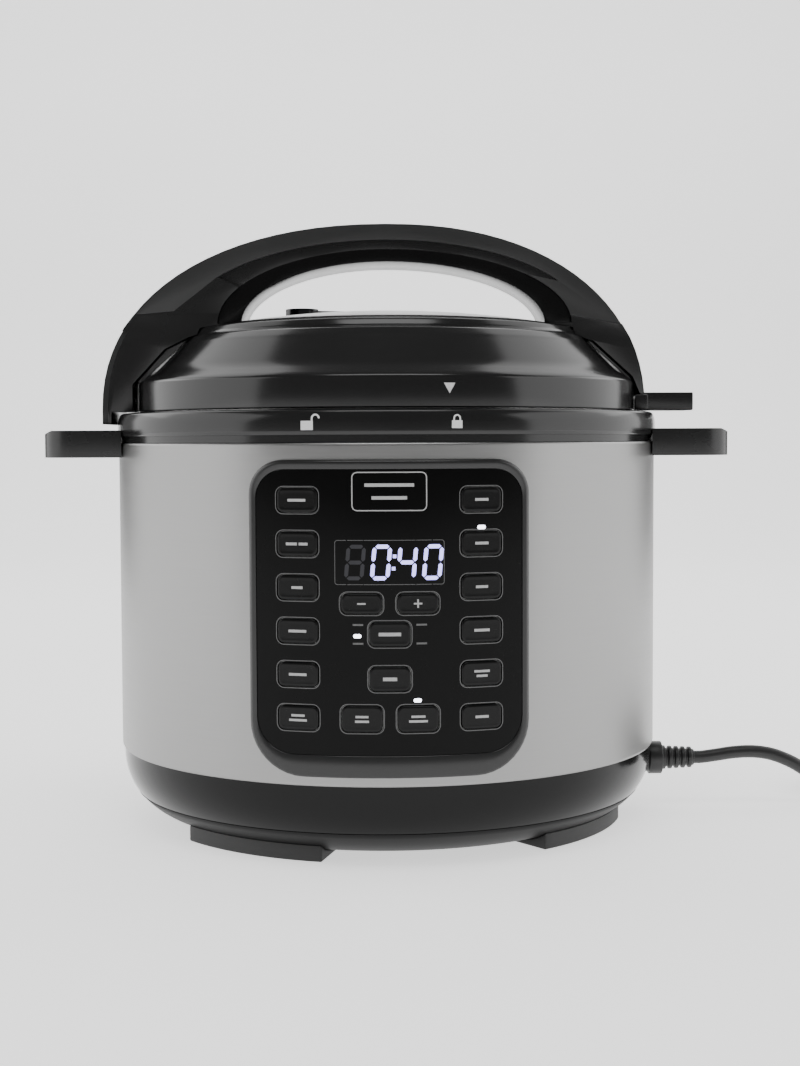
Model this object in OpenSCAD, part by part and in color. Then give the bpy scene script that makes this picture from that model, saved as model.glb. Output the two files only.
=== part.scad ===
// Electric pressure cooker: steel body on a black base, bayonet lid with an arched handle,
// curved control panel and mains lead. Millimetres; +Z up, -Y is the front, +X the lead's side.
// The origin is on the table, on the body's axis.

/* [Body] */
// Outer radius of the steel shell
body_r = 132.2; // [120:0.1:160]
// Height of the shell's lower edge above the table
shell_low_z = 37; // [36:0.5:45]
// Height of the steel shell
shell_h = 147.3; // [146:0.1:180]
// Thickness of the shell's steel
shell_wall = 0.8; // [0.6:0.1:1.2]

/* [Base] */
// Height of the base bowl's underside above the table
base_gap = 2.1; // [1:0.1:5]
// Width of the bowl's rounded corner
bowl_corner_w = 37; // [25:1:40]
// Wall of the base bowl
bowl_wall = 2.6; // [2:0.1:3.5]
// Radius of the service cover under the base
service_cover_r = 56; // [40:1:60]
// Angular length of one foot
foot_angle = 38; // [20:1:50]

/* [Top rim] */
// Height of the rim's visible band
rim_h = 11.1; // [10:0.1:16]
// Height of the groove between the shell and the band
groove_h = 3.3; // [2:0.1:6]
// How far the rim stands out past the shell
rim_proud = 0.5; // [0:0.1:2]

/* [Side handles] */
// How far a side handle reaches past the shell
grip_reach = 33; // [28:0.1:45]
// Thickness of a side handle
grip_t = 12.9; // [10:0.1:18]
// Width of a side handle
grip_w = 84; // [60:1:100]

/* [Pots] */
// Gap between the steel shell and the pressure pot's wall
pot_gap = 17.7; // [16:0.1:22]
// Wall of the pressure pot
outer_pot_wall = 1.5; // [1:0.1:3]
// Wall of the removable pot
inner_pot_wall = 1.6; // [1:0.1:3]
// Clearance between the two pots
pot_clearance = 2.5; // [1:0.1:5]
// Height of the removable pot's underside above the table
inner_pot_z = 40; // [38:0.5:46]

/* [Lid] */
// How far the lid's band stands in from the shell's radius
lid_inset = 9.9; // [9.5:0.1:12]
// Height of the lid's vertical band
lid_band_h = 13.3; // [10:0.1:20]
// Height of the cone above the band
lid_cone_h = 17.1; // [12:0.1:25]
// Height of the dome above the cone
lid_dome_h = 17.1; // [14:0.1:25]
// Wall of the lid's cover
lid_wall = 2.6; // [2:0.1:3.5]
// Number of bayonet lugs
lug_count = 6; // [6:1:6]
// Angular width of one bayonet lug
lug_angle = 26; // [20:1:27]

/* [Lid handle] */
// Height of the arch above the top of the lid
arch_rise = 41.5; // [38:0.1:55]
// Depth of the grip from front to back
arch_depth = 44; // [36:1:50]
// Depth of the two legs from front to back
leg_depth = 52; // [46:1:60]

/* [Control panel] */
// Width of the panel's frame, across its chord
panel_w = 120.6; // [116:0.1:126]
// Height of the panel's frame
panel_h = 135.6; // [132:0.1:138]
// Height of the frame's lower edge above the shell's lower edge
panel_lift = 4.5; // [3:0.1:8]
// Height at which the lens starts above the frame's lower edge
lens_lift = 9.8; // [8:0.1:10]
// Width of a key
key_w = 18; // [12:0.1:22]
// Height of a key
key_h = 10.3; // [8:0.1:13]
// Distance between two rows of side keys
key_pitch = 18.6; // [17:0.1:19.5]
// Distance of the side keys from the panel's middle
key_side_x = 39.4; // [36:0.1:41]
// Clearance round a key
key_clearance = 0.35; // [0.25:0.05:0.6]

/* [Lead] */
// Diameter of the mains lead
cord_d = 6.5; // [6:0.1:7]

/* [Hidden] */
$fn = 96;
eps = 0.01;

// Heights of the stacked pieces
shell_top_z = shell_low_z + shell_h;
rim_z = shell_top_z + groove_h;
rim_top_z = rim_z + rim_h;
lid_z = rim_top_z + 0.6;
ledge_z = lid_z + lid_band_h + 1.7;
cone_top_z = ledge_z + lid_cone_h;
lid_top_z = cone_top_z + lid_dome_h;
arch_top_z = lid_top_z + arch_rise;

// Radii of the pieces round the axis
shell_in_r = body_r - shell_wall;
bowl_r = body_r - 1;
rim_r = body_r + rim_proud;
outer_pot_r = body_r - pot_gap;
outer_pot_in_r = outer_pot_r - outer_pot_wall;
inner_pot_r = outer_pot_in_r - pot_clearance;
lid_r = body_r - lid_inset;
ledge_r = lid_r - 2.4;
cone_top_r = ledge_r - 18.4;
dome_r = cone_top_r - 8.4;
dome_drop = 8.8;

// Bayonet: lugs on the pressure pot reach in over lugs on the inner lid
riser_r = outer_pot_r + 9;
pot_lug_in_r = outer_pot_r + 1.7;
lid_rim_r = outer_pot_r;
lid_lug_r = riser_r - outer_pot_wall - 2.6;
flange_t = 1.5;
flange_z = shell_top_z - 0.3;
pot_rim_z = flange_z + flange_t;
pot_rim_t = 1.6;
lug_t = 2.7;
lug_low_z = pot_rim_z + pot_rim_t + 1.7;
lug_gap = 1;
pot_lug_z = lug_low_z + lug_t + lug_gap;
lid_disc_z = lid_z + 3.7;
lid_disc_t = 2;

// Base bowl: its corner is a superellipse between the wall and the flat underside
bowl_power = 2.19;
bowl_steps = 14;
bowl_corner_z = shell_low_z - 1.1;
bowl_lip_h = 6;
floor_z = base_gap + bowl_wall;
screw_ring_r = 78;
boss_r = 6;
boss_top_z = 16;
pot_low_z = 24;

// Service screws
screw_r = 2;
screw_head_r = 4;
screw_fit = 0.05;

// Panel layers, as radii of cylinders round the body's axis
frame_in_r = body_r + 0.1;
frame_out_r = body_r + 2.8;
lens_in_r = body_r + 0.8;
lens_out_r = body_r + 2.2;
key_out_r = lens_out_r + 0.5;
key_flange_r = lens_in_r - 0.7;
key_back_r = key_flange_r - 0.9;
panel_low_z = shell_low_z + panel_lift;
lens_low_z = panel_low_z + lens_lift;
lens_w = panel_w - 6.6;
lens_h = panel_h - lens_lift - 4.2;
lens_top_z = lens_low_z + lens_h;
frame_top_corner = 14.6;
frame_low_corner = 23;
lens_top_corner = 12;
lens_low_corner = 15.5;
frame_lip = 3;
board_y = outer_pot_r + 3.5;
board_t = 1.6;
board_w = 100;
switch_h = 2;
stem_r = 1.6;
key_travel = 0.6;
key_corner = 2.6;
key_top_z = lens_top_z - 12.9;
middle_key_w = 17.5;
adjust_key_h = 8.6;
adjust_key_z = key_top_z - 43.8;
pressure_key_z = key_top_z - 56.8;
temperature_key_z = key_top_z - 75.9;
lower_key_z = key_top_z - 5 * key_pitch;
lower_key_h = 11.1;
middle_key_x = 12;
middle_key_angle = asin(middle_key_x / key_out_r);
key_side_angle = asin(key_side_x / key_out_r);
window_z = key_top_z - 26.3;
window_w = 46.6;
window_h = 19;
light_w = 4;
light_h = 1.3;

// Arch of the lid's handle: four half ovals in the X-Z plane
arch_base_z = ledge_z - 14.3;
arch_left = body_r + 6;
arch_right = body_r - 7;
arch_power = 2.2;
arch_steps = 44;
liner_base_z = lid_top_z - 6.5;
liner_out_left = 82;
liner_out_right = 90;
liner_in_left = 70.5;
liner_in_right = 77;
liner_out_rise = arch_rise - 5.5;
liner_in_rise = arch_rise - 11.5;
parting_left = 98.6;
parting_right = 96.8;
parting_rise = arch_rise - 1.1;
crescent_end = 82;
leg_skirt_z = rim_top_z - 5.1;
leg_foot_z = rim_top_z + 1.1;
leg_clear = 0.7;
skirt_in_x = rim_r + 0.6;
end_cover_t = 3.2;
end_cover_top_z = lid_top_z - 9.8;
fin_z = rim_top_z + 0.9;
fin_t = 8.8;
fin_reach = body_r + 19;
fin_w = 26;

// Valves on the lid
valve_x = -43;
valve_y = 27;
pipe_r = 4;
pipe_bore_r = 2.2;
float_x = 12;
float_y = 62;
float_r = 2.5;
run_fit = 0.1;

// Thermostat in the middle of the heating plate
plunger_r = 15.5;
plunger_gap = 0.15;

// Lead: the free stretch lies in front of the boot's end, the tail beyond the coil's edge
cord_r = cord_d / 2;
cord_sides = 10;
ring_step = 3;
relief_x = bowl_r - 3;
relief_z = 24.4;
relief_end_x = body_r + 22.5;
cord_lie = [
    [0, 0, relief_z], [4, 0, relief_z], [11, 0, 25.3], [20, 0, 26.6], [30, 0, 27],
    [40, 0, 25.5], [50, 0, 21.5], [59, 0, 16], [68, 0, 10], [78, 0, 5.6], [89, 0, 3.6],
    [100, 0, 3.3], [110, 0, 3.25]
];
tail_lie = [[0, 0, 9.75], [0, 9, 9.6], [0, 19, 9.1], [0, 29, 8.6]];
track_r = 39.25;
coil_x = relief_end_x + 110;
coil_y = track_r;
coil_in_r = 29.5;
coil_out_r = 42.5;
coil_h = 13;
plug_x = coil_x + track_r;
plug_y = coil_y + 27;
plug_z = 8.5;
pin_r = 2;
pin_l = 19;

steel = "silver";
gloss_black = [0.06, 0.06, 0.07];
satin_black = [0.14, 0.14, 0.15];
rubber_grey = [0.2, 0.2, 0.21];
silicone = [0.85, 0.85, 0.82];
board_green = [0.1, 0.35, 0.2];

// ---------- shared shapes ----------

// Ring between two radii
module ring(r_out, r_in, h) {
    difference() {
        cylinder(r = r_out, h = h);
        translate([0, 0, -1]) cylinder(r = r_in, h = h + 2);
    }
}

// Upright rectangle with its own radius at the top and at the bottom corners, standing on z = 0
module panel_outline(w, h, r_top, r_low) {
    translate([-w / 2 + r_low, 0]) square([w - 2 * r_low, h / 2]);
    translate([-w / 2, r_low]) square([w, h - r_low - r_top]);
    translate([-w / 2 + r_top, h / 2]) square([w - 2 * r_top, h / 2]);
    for (side = [-1, 1]) {
        translate([side * (w / 2 - r_low), r_low]) circle(r_low);
        translate([side * (w / 2 - r_top), h - r_top]) circle(r_top);
    }
}

// Bent plate on the body's front: the part of a cylinder wall behind an outline
module on_front(r_in, r_out, z) {
    intersection() {
        translate([0, 0, z - 30]) ring(r_out, r_in, 260);
        translate([0, 0, z]) rotate([90, 0, 0]) linear_extrude(height = r_out + 20) children();
    }
}

// Straight wall of an outline that goes through the panel
module through_front(z) {
    translate([0, 0, z]) rotate([90, 0, 0]) linear_extrude(height = body_r + 20) children();
}

// Key's face outline, centred on its own middle
module key_outline(w, h) {
    translate([0, -h / 2]) panel_outline(w, h, key_corner, key_corner);
}

// Sector of a ring between two angles
module sector(r_out, r_in, h, angle) {
    rotate([0, 0, -angle / 2])
        rotate_extrude(angle = angle) translate([r_in, 0]) square([r_out - r_in, h]);
}

// Points of a half oval: a superellipse with its own width on each side
function oval(left, right, base, rise, power) = [
    for (i = [0:arch_steps])
        let (t = 180 - 180 * i / arch_steps, c = cos(t), s = sin(t))
        [(c < 0 ? -left : right) * pow(abs(c), 2 / power), base + rise * pow(abs(s), 2 / power)]
];

// Plate in the X-Z plane, centred on y = 0
module upright(depth) {
    rotate([90, 0, 0]) linear_extrude(height = depth, center = true) children();
}

// Point on a smooth curve through four points
function curve_point(a, b, c, d, t) =
    0.5 * (2 * b + (c - a) * t + (2 * a - 5 * b + 4 * c - d) * t * t
        + (3 * b - a - 3 * c + d) * t * t * t);

// Points along a smooth curve through a route
function smooth_route(p, n) = concat(
    [for (i = [0:len(p) - 2], k = [0:n - 1])
        curve_point(p[max(i - 1, 0)], p[i], p[i + 1], p[min(i + 2, len(p) - 1)], k / n)],
    [p[len(p) - 1]]
);

function unit(v) = v / norm(v);

// Round tube swept along a list of points
module tube(path, r, sides) {
    n = len(path);
    tangents = [for (i = [0:n - 1]) unit(path[min(i + 1, n - 1)] - path[max(i - 1, 0)])];
    rings = [
        for (i = [0:n - 1])
            let (side = unit(cross([0, 0, 1], tangents[i])), up = cross(tangents[i], side))
            for (k = [0:sides - 1])
                path[i] + r * (cos(360 * k / sides) * side + sin(360 * k / sides) * up)
    ];
    walls = [
        for (i = [0:n - 2], k = [0:sides - 1])
            [i * sides + k, (i + 1) * sides + k, (i + 1) * sides + (k + 1) % sides,
                i * sides + (k + 1) % sides]
    ];
    start_cap = [[for (k = [0:sides - 1]) k]];
    end_cap = [[for (k = [0:sides - 1]) (n - 1) * sides + sides - 1 - k]];
    polyhedron(points = rings, faces = concat(walls, start_cap, end_cap));
}

// ---------- base ----------

// Outer profile of the bowl, from the axis out to the wall's top
function bowl_profile(inset, top_z) = concat(
    [[0, base_gap + inset]],
    [for (i = [0:bowl_steps])
        let (t = 90 - 90 * i / bowl_steps)
        [bowl_r - bowl_corner_w + (bowl_corner_w - inset) * pow(cos(t), 2 / bowl_power),
            bowl_corner_z - (bowl_corner_z - base_gap - inset) * pow(sin(t), 2 / bowl_power)]],
    [[bowl_r - inset, top_z], [0, top_z]]
);

module bowl_solid(inset, top_z) {
    rotate_extrude() polygon(bowl_profile(inset, top_z));
}

module base_housing() {
    lip_z = shell_low_z + bowl_lip_h;
    vent_ring_r = service_cover_r + 11;
    color(gloss_black) difference() {
        union() {
            difference() {
                bowl_solid(0, lip_z);
                bowl_solid(bowl_wall, lip_z + 1);
            }
            at_screws() cylinder(r = boss_r, h = boss_top_z - base_gap - eps);
        }
        translate([0, 0, base_gap - 1]) cylinder(r = service_cover_r - 6, h = 10);
        translate([0, 0, base_gap - 1]) cylinder(r = service_cover_r + 0.4, h = 1 + bowl_wall / 2);
        at_screws() {
            translate([0, 0, -1]) cylinder(r = screw_r + screw_fit, h = 20);
            translate([0, 0, -1]) cylinder(r = screw_head_r + 0.4, h = 4);
        }
        for (i = [0:23])
            rotate([0, 0, 15 * i + 7.5])
                translate([vent_ring_r - 5, -1.5, 0]) cube([9, 3, 10]);
        translate([bowl_r - 12, 0, relief_z])
            rotate([0, 90, 0]) cylinder(r = relief_neck_r + screw_fit, h = 20);
    }
}

// The four screws that hold the pressure pot's legs to the base
module at_screws() {
    for (i = [0:3])
        rotate([0, 0, 45 + 90 * i]) translate([screw_ring_r, 0, base_gap]) children();
}

module bottom_cover() {
    color(satin_black) translate([0, 0, base_gap]) {
        cylinder(r = service_cover_r, h = bowl_wall / 2 - 0.1);
        cylinder(r = service_cover_r - 6.4, h = bowl_wall);
    }
}

// Arc pads whose tops follow the bowl's underside
module feet() {
    color(rubber_grey) difference() {
        for (i = [0:3])
            rotate([0, 0, -124 + 90 * i]) sector(bowl_r - 14.8, bowl_r - 40, 12, foot_angle);
        bowl_solid(0, 40);
    }
}

// ---------- steel shell and top rim ----------

module outer_shell() {
    color(steel) difference() {
        translate([0, 0, shell_low_z]) ring(body_r, shell_in_r, shell_h);
        through_front(lens_low_z + frame_lip - 1)
            panel_outline(lens_w - 2 * frame_lip + 2, lens_h - 2 * frame_lip + 2,
                lens_top_corner - frame_lip, lens_low_corner - frame_lip);
        at_grip_bosses() cylinder(r = grip_boss_r + screw_fit, h = 20);
    }
}

module top_rim() {
    skirt_r = shell_in_r - 0.2;
    ledge_t = 2;
    rim_in_r = riser_r + 1;
    color(gloss_black) difference() {
        union() {
            translate([0, 0, rim_z]) ring(rim_r, rim_in_r, rim_h);
            translate([0, 0, shell_top_z]) ring(rim_r - 1.7, rim_in_r, groove_h);
            translate([0, 0, shell_top_z - 9]) ring(skirt_r, skirt_r - 2, 9 + eps);
            translate([0, 0, flange_z - ledge_t])
                ring(skirt_r - 1, outer_pot_r + 0.5, ledge_t);
            translate([0, 0, flange_z - ledge_t]) ring(skirt_r, rim_in_r, 6);
            translate([0, 0, rim_top_z - 2]) ring(rim_r, lid_lug_r + 1.2, 2);
        }
        at_grip_bosses() translate([0, 0, -4]) cylinder(r = grip_boss_r + 0.6, h = 24);
    }
}

// ---------- side handles ----------

grip_boss_r = 3.2;
grip_in_r = rim_r + 0.4;
grip_top_z = rim_z + 2.9;
grip_low_z = grip_top_z - grip_t;
grip_slot_x = grip_in_r + 1.5;
grip_slot_l = fin_t + 1.2;
grip_slot_w = fin_w + 3;
grip_boss_z = grip_low_z + 3.6;
relief_neck_r = 7;

// The two bosses of each side handle, pointing at the body's axis
module at_grip_bosses() {
    for (side = [0, 180], a = [-12, 12])
        rotate([0, 0, side + a])
            translate([grip_in_r + 1, 0, grip_boss_z]) rotate([0, -90, 0]) children();
}

module grip_plan() {
    tip = body_r + grip_reach;
    corner = 16;
    difference() {
        union() {
            translate([0, -grip_w / 2]) square([tip - corner, grip_w]);
            translate([0, -grip_w / 2 + corner]) square([tip, grip_w - 2 * corner]);
            for (s = [-1, 1])
                translate([tip - corner, s * (grip_w / 2 - corner)]) circle(corner);
        }
        circle(grip_in_r);
        translate([grip_slot_x, -grip_slot_w / 2]) square([grip_slot_l, grip_slot_w]);
    }
}

module side_handle() {
    bevel_w = 5;
    bevel_h = 1.8;
    tip = body_r + grip_reach;
    difference() {
        translate([0, 0, grip_low_z]) linear_extrude(height = grip_t) grip_plan();
        upright(grip_w + 2)
            polygon([[tip - bevel_w, grip_top_z + eps], [tip + 1, grip_top_z + eps],
                [tip + 1, grip_top_z - bevel_h - 0.4], [tip, grip_top_z - bevel_h]]);
    }
}

module grip_pair_bosses() {
    for (a = [-12, 12])
        rotate([0, 0, a]) translate([grip_in_r + 1, 0, grip_boss_z]) rotate([0, -90, 0])
            difference() {
                cylinder(r = grip_boss_r, h = 8);
                translate([0, 0, 1.5]) cylinder(r = 1.5, h = 8);
            }
}

module side_handle_right() {
    color(satin_black) {
        side_handle();
        grip_pair_bosses();
    }
}

module side_handle_left() {
    color(satin_black) rotate([0, 0, 180]) {
        side_handle();
        grip_pair_bosses();
    }
}

// Base screws, and the screws inside the shell that hold the side handles
module body_screws() {
    color(steel) {
        at_screws() translate([0, 0, 0.4]) {
            cylinder(r = screw_head_r, h = 2);
            cylinder(r = screw_r, h = 18);
        }
        at_grip_bosses() translate([0, 0, 2]) {
            cylinder(r = 1.45, h = 6);
            translate([0, 0, 6.05]) cylinder(r = 3, h = 1.6);
        }
    }
}

// ---------- pots and heating ----------

module outer_pot() {
    riser_in_r = riser_r - outer_pot_wall;
    hole_r = 80;
    color("gainsboro") {
        rotate_extrude() polygon([
            [hole_r, pot_low_z], [outer_pot_r, pot_low_z], [outer_pot_r, flange_z],
            [riser_r, flange_z], [riser_r, pot_lug_z + lug_t], [riser_in_r, pot_lug_z + lug_t],
            [riser_in_r, pot_rim_z], [outer_pot_in_r, pot_rim_z],
            [outer_pot_in_r, pot_low_z + outer_pot_wall], [hole_r, pot_low_z + outer_pot_wall]
        ]);
        for (i = [0:lug_count - 1])
            rotate([0, 0, 360 * i / lug_count]) translate([0, 0, pot_lug_z])
                sector(riser_in_r + 0.2, pot_lug_in_r, lug_t, lug_angle);
        at_screws() translate([3, 0, boss_top_z - base_gap]) difference() {
            translate([-6, -6, 0]) cube([14, 12, pot_low_z - boss_top_z + eps]);
            translate([-3, 0, -1]) cylinder(r = screw_r + screw_fit, h = 7.6);
        }
    }
}

module heating_plate() {
    plate_r = 88;
    plate_t = 7;
    color("silver") {
        difference() {
            translate([0, 0, inner_pot_z - plate_t]) cylinder(r = plate_r, h = plate_t);
            translate([0, 0, inner_pot_z - plate_t - 1]) cylinder(r = plunger_r + 0.7, h = 12);
        }
        translate([0, 0, pot_low_z + outer_pot_wall])
            ring(plate_r - 2, plate_r - 6, inner_pot_z - plate_t - pot_low_z - outer_pot_wall + eps);
    }
}

module heating_element() {
    coil_r = 62;
    wire_r = 3.4;
    gap = 30;
    element_z = inner_pot_z - 7 - wire_r;
    color("dimgray") {
        rotate([0, 0, 90 + gap / 2]) rotate_extrude(angle = 360 - gap)
            translate([coil_r, element_z]) circle(wire_r);
        for (s = [-1, 1])
            rotate([0, 0, 90 + s * gap / 2]) translate([coil_r, 0, element_z - 11])
                cylinder(r = 1.8, h = 11);
    }
}

module thermostat_plunger() {
    top_z = inner_pot_z - plunger_gap;
    color("gainsboro") {
        translate([0, 0, top_z - 4]) cylinder(r = plunger_r, h = 4);
        translate([0, 0, top_z - 12]) cylinder(r = 6, h = 8 + eps);
    }
}

module thermostat_spring() {
    turns = 4;
    steps = 12;
    low_z = floor_z + 6;
    rise = inner_pot_z - plunger_gap - 5.2 - low_z;
    color(steel) tube(
        [for (i = [0:turns * steps])
            [9 * cos(360 * i / steps), 9 * sin(360 * i / steps), low_z + rise * i / turns / steps]],
        0.8, 8);
    color(satin_black) translate([0, 0, bowl_wall + base_gap + 0.1])
        ring(11, 7.5, low_z - 0.9 - floor_z);
}

module pressure_switch() {
    color("ivory") translate([26, -9, floor_z + 0.1]) {
        cube([26, 18, 11]);
        translate([6, 9, 11 - eps]) cylinder(r = 2.4, h = 6);
        for (x = [4, 12, 20]) translate([x, 18 - eps, 3]) cube([1, 6, 5]);
    }
}

module thermal_fuse() {
    color("gold") rotate([0, 0, 120]) translate([outer_pot_r + 3.4, 0, 70]) {
        cylinder(r = 3, h = 20);
        translate([-3.3, -8, 6]) difference() {
            cube([6.4, 16, 8]);
            translate([3.3, 8, -1]) cylinder(r = 2.95, h = 10);
        }
    }
}

module power_board() {
    color(board_green) translate([-48, -34, floor_z + 3]) difference() {
        cube([36, 68, board_t]);
        for (x = [4, 32], y = [4, 64]) translate([x, y, -1]) cylinder(r = 1.6, h = 4);
    }
    color("royalblue") translate([-44, -26, floor_z + 3 + board_t]) cube([15, 18, 9]);
    color("dimgray") translate([-24, 16, floor_z + 3 + board_t]) cylinder(r = 6, h = 11);
    color(satin_black) translate([-45, 0, floor_z + 3 + board_t]) cube([12, 20, 8]);
    color("ivory") for (x = [-44, -16], y = [-30, 30])
        translate([x, y, floor_z]) cylinder(r = 3, h = 3);
}

module inner_pot() {
    corner = 12;
    in_r = inner_pot_r - inner_pot_wall;
    out_corner = corner + inner_pot_wall;
    steps = 8;
    color("gainsboro") rotate_extrude() polygon(concat(
        [[0, inner_pot_z]],
        [for (i = [0:steps]) let (a = 90 * i / steps)
            [inner_pot_r - out_corner + out_corner * sin(a),
                inner_pot_z + out_corner - out_corner * cos(a)]],
        [[inner_pot_r, pot_rim_z], [inner_pot_r + 6, pot_rim_z],
            [inner_pot_r + 6, pot_rim_z + pot_rim_t], [in_r, pot_rim_z + pot_rim_t]],
        [for (i = [steps:-1:0]) let (a = 90 * i / steps)
            [in_r - corner + corner * sin(a),
                inner_pot_z + inner_pot_wall + corner - corner * cos(a)]],
        [[0, inner_pot_z + inner_pot_wall]]
    ));
}

// ---------- lid ----------

// Silicone ring that presses on the rim of the removable pot
module sealing_ring() {
    low_z = pot_rim_z + pot_rim_t + 0.3;
    out_r = lid_rim_r - 2.4;
    color(silicone) rotate_extrude() polygon([
        [out_r - 9, low_z], [out_r - 1, low_z], [out_r, low_z + 1], [out_r, low_z + 9.5],
        [out_r - 5, low_z + 9.5], [out_r - 5, low_z + 7.5], [out_r - 2.4, low_z + 6],
        [out_r - 2.4, low_z + 2.6], [out_r - 9, low_z + 1.4]
    ]);
}

module at_pipe() {
    translate([valve_x, valve_y, 0]) children();
}

module at_float() {
    translate([float_x, float_y, 0]) children();
}

module inner_lid() {
    color("gainsboro") difference() {
        union() {
            translate([0, 0, lid_disc_z]) cylinder(r = lid_rim_r, h = lid_disc_t);
            translate([0, 0, lug_low_z])
                ring(lid_rim_r, lid_rim_r - 2, lid_disc_z - lug_low_z + eps);
            for (i = [0:lug_count - 1])
                rotate([0, 0, 360 * i / lug_count]) translate([0, 0, lug_low_z])
                    sector(lid_lug_r, lid_rim_r - 0.2, lug_t, lug_angle);
        }
        at_pipe() cylinder(r = pipe_r + screw_fit, h = 300);
        at_float() cylinder(r = float_r + run_fit, h = 300);
        at_lid_bosses() cylinder(r = screw_r + screw_fit, h = 300);
    }
}

// Wire rack that carries the sealing ring
module ring_rack() {
    rack_r = lid_rim_r - 13.4;
    rack_z = pot_rim_z + pot_rim_t + 4.5;
    wire = 1.3;
    color(steel) {
        rotate_extrude() translate([rack_r, rack_z]) circle(wire);
        for (i = [0:7])
            rotate([0, 0, 45 * i + 22.5]) translate([rack_r, 0, rack_z])
                cylinder(r = 1, h = lid_disc_z - rack_z - 0.02);
    }
}

// Perforated cap that keeps food out of the steam pipe
module steam_shield() {
    cap_h = 11;
    color("gainsboro") at_pipe() translate([0, 0, lid_disc_z - cap_h]) difference() {
        cylinder(r = 14, h = cap_h - 0.02);
        translate([0, 0, 1]) cylinder(r = 13, h = cap_h);
        for (i = [0:5])
            rotate([0, 0, 60 * i]) translate([8, -1.2, 3]) cube([10, 2.4, 5]);
    }
}

// Outer profile of the lid's cover; the dome is a circle's arc
function dome_z(r) = let (sphere_r = (dome_r * dome_r + dome_drop * dome_drop) / dome_drop / 2)
    lid_top_z - sphere_r + sqrt(sphere_r * sphere_r - r * r);

function lid_profile(inset) = concat(
    [[lid_r - inset, lid_z], [lid_r - inset, lid_z + lid_band_h - inset / 2]],
    [[ledge_r - inset, ledge_z - inset / 2], [cone_top_r - inset, cone_top_z - inset]],
    [[cone_top_r - 2.2 - inset, cone_top_z + 2.3 - inset]],
    [[cone_top_r - 5 - inset, cone_top_z + 4 - inset]],
    [[dome_r + 1.6 - inset, cone_top_z + 4.4 - inset], [dome_r + 1.4 - inset, cone_top_z + 5.6 - inset]],
    [for (i = [8:-1:0]) let (r = (dome_r - inset) * i / 8) [r, dome_z(r) - inset]]
);

// The lid's outer form down to its lower edge, grown by a clearance
module lid_envelope(clear) {
    rotate_extrude() polygon(concat(
        [[0, lid_z - 1]],
        [[lid_r + clear, lid_z - 1]],
        [for (p = lid_profile(0)) [p[0] > 0 ? p[0] + clear : 0, p[1] + clear]]
    ));
}

// Hollow posts that join the cover to the steel disc
module at_lid_bosses() {
    for (a = [55, 125, 235, 305])
        rotate([0, 0, a]) translate([78, 0, 0]) children();
}

module lid_cover() {
    color(gloss_black) difference() {
        union() {
            difference() {
                rotate_extrude() polygon(concat([[0, lid_z]], lid_profile(0)));
                rotate_extrude() polygon(concat([[0, lid_z - 1]],
                    [[lid_r - lid_wall, lid_z - 1]], lid_profile(lid_wall)));
            }
            at_lid_bosses() translate([0, 0, lid_disc_z + lid_disc_t + 0.02])
                cylinder(r = 5, h = cone_top_z - lid_disc_z);
        }
        at_pipe() cylinder(r = pipe_r + 0.5, h = 300);
        at_float() cylinder(r = float_r + 0.5, h = 300);
        at_lid_bosses() translate([0, 0, lid_z])
            cylinder(r = screw_r + screw_fit, h = 18);
        at_handle_screws() cylinder(r = screw_r + 0.3, h = 300);
    }
}

module steam_pipe() {
    top_z = lid_top_z + 2;
    color(steel) at_pipe() difference() {
        union() {
            translate([0, 0, lid_disc_z - 4]) cylinder(r = pipe_r, h = top_z - lid_disc_z + 4);
            translate([0, 0, lid_disc_z + lid_disc_t]) cylinder(r = 8, h = 3, $fn = 6);
        }
        translate([0, 0, lid_disc_z - 5]) cylinder(r = pipe_bore_r, h = 80);
    }
}

// Turning weight with its lever, dropped over the steam pipe
module release_valve() {
    weight_r = 8.4;
    low_z = dome_z(norm([valve_x, valve_y]) - weight_r) + 0.3;
    color(gloss_black) at_pipe() difference() {
        union() {
            translate([0, 0, low_z]) cylinder(r = weight_r, h = 5.6);
            translate([0, 0, low_z + 1.2]) linear_extrude(height = 3.2)
                polygon([[0, -7.6], [20.5, -3.4], [20.5, 3.4], [0, 7.6]]);
            translate([20.5, 0, low_z + 1.2]) cylinder(r = 3.4, h = 3.2);
        }
        translate([0, 0, low_z - 1]) cylinder(r = pipe_r + run_fit, h = lid_top_z + 3.2 - low_z);
    }
}

// Pin that rises under pressure and shows that the lid is locked
module float_valve() {
    top_z = dome_z(norm([float_x, float_y])) - 1.5;
    low_z = lid_disc_z - 8;
    color("crimson") at_float() {
        translate([0, 0, low_z]) cylinder(r = float_r, h = top_z - low_z);
        translate([0, 0, low_z - 1.5]) cylinder(r = 4.2, h = 1.5 + eps);
    }
}

module float_seal() {
    color(silicone) at_float() translate([0, 0, lid_disc_z - 1.6]) ring(6, float_r + 0.4, 1.58);
}

// ---------- lid handle ----------

module arch_region() {
    polygon(oval(arch_left, arch_right, arch_base_z, arch_top_z - arch_base_z, arch_power));
}

module liner_region() {
    polygon(oval(liner_out_left, liner_out_right, liner_base_z, liner_out_rise, 2));
}

module gap_region() {
    polygon(oval(liner_in_left, liner_in_right, liner_base_z, liner_in_rise, 2));
}

// Left cheek: below the parting line of the top cover
module cheek_region() {
    polygon([
        [-arch_left - 20, leg_skirt_z - 20], [-arch_left - 20, lid_top_z - 1.7],
        [-arch_left + 19.3, lid_top_z - 1.7], [-arch_left + 35.1, lid_top_z - 0.3],
        [-crescent_end, lid_top_z + 16], [-60, lid_top_z + 6.5], [-60, leg_skirt_z - 20]
    ]);
}

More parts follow.
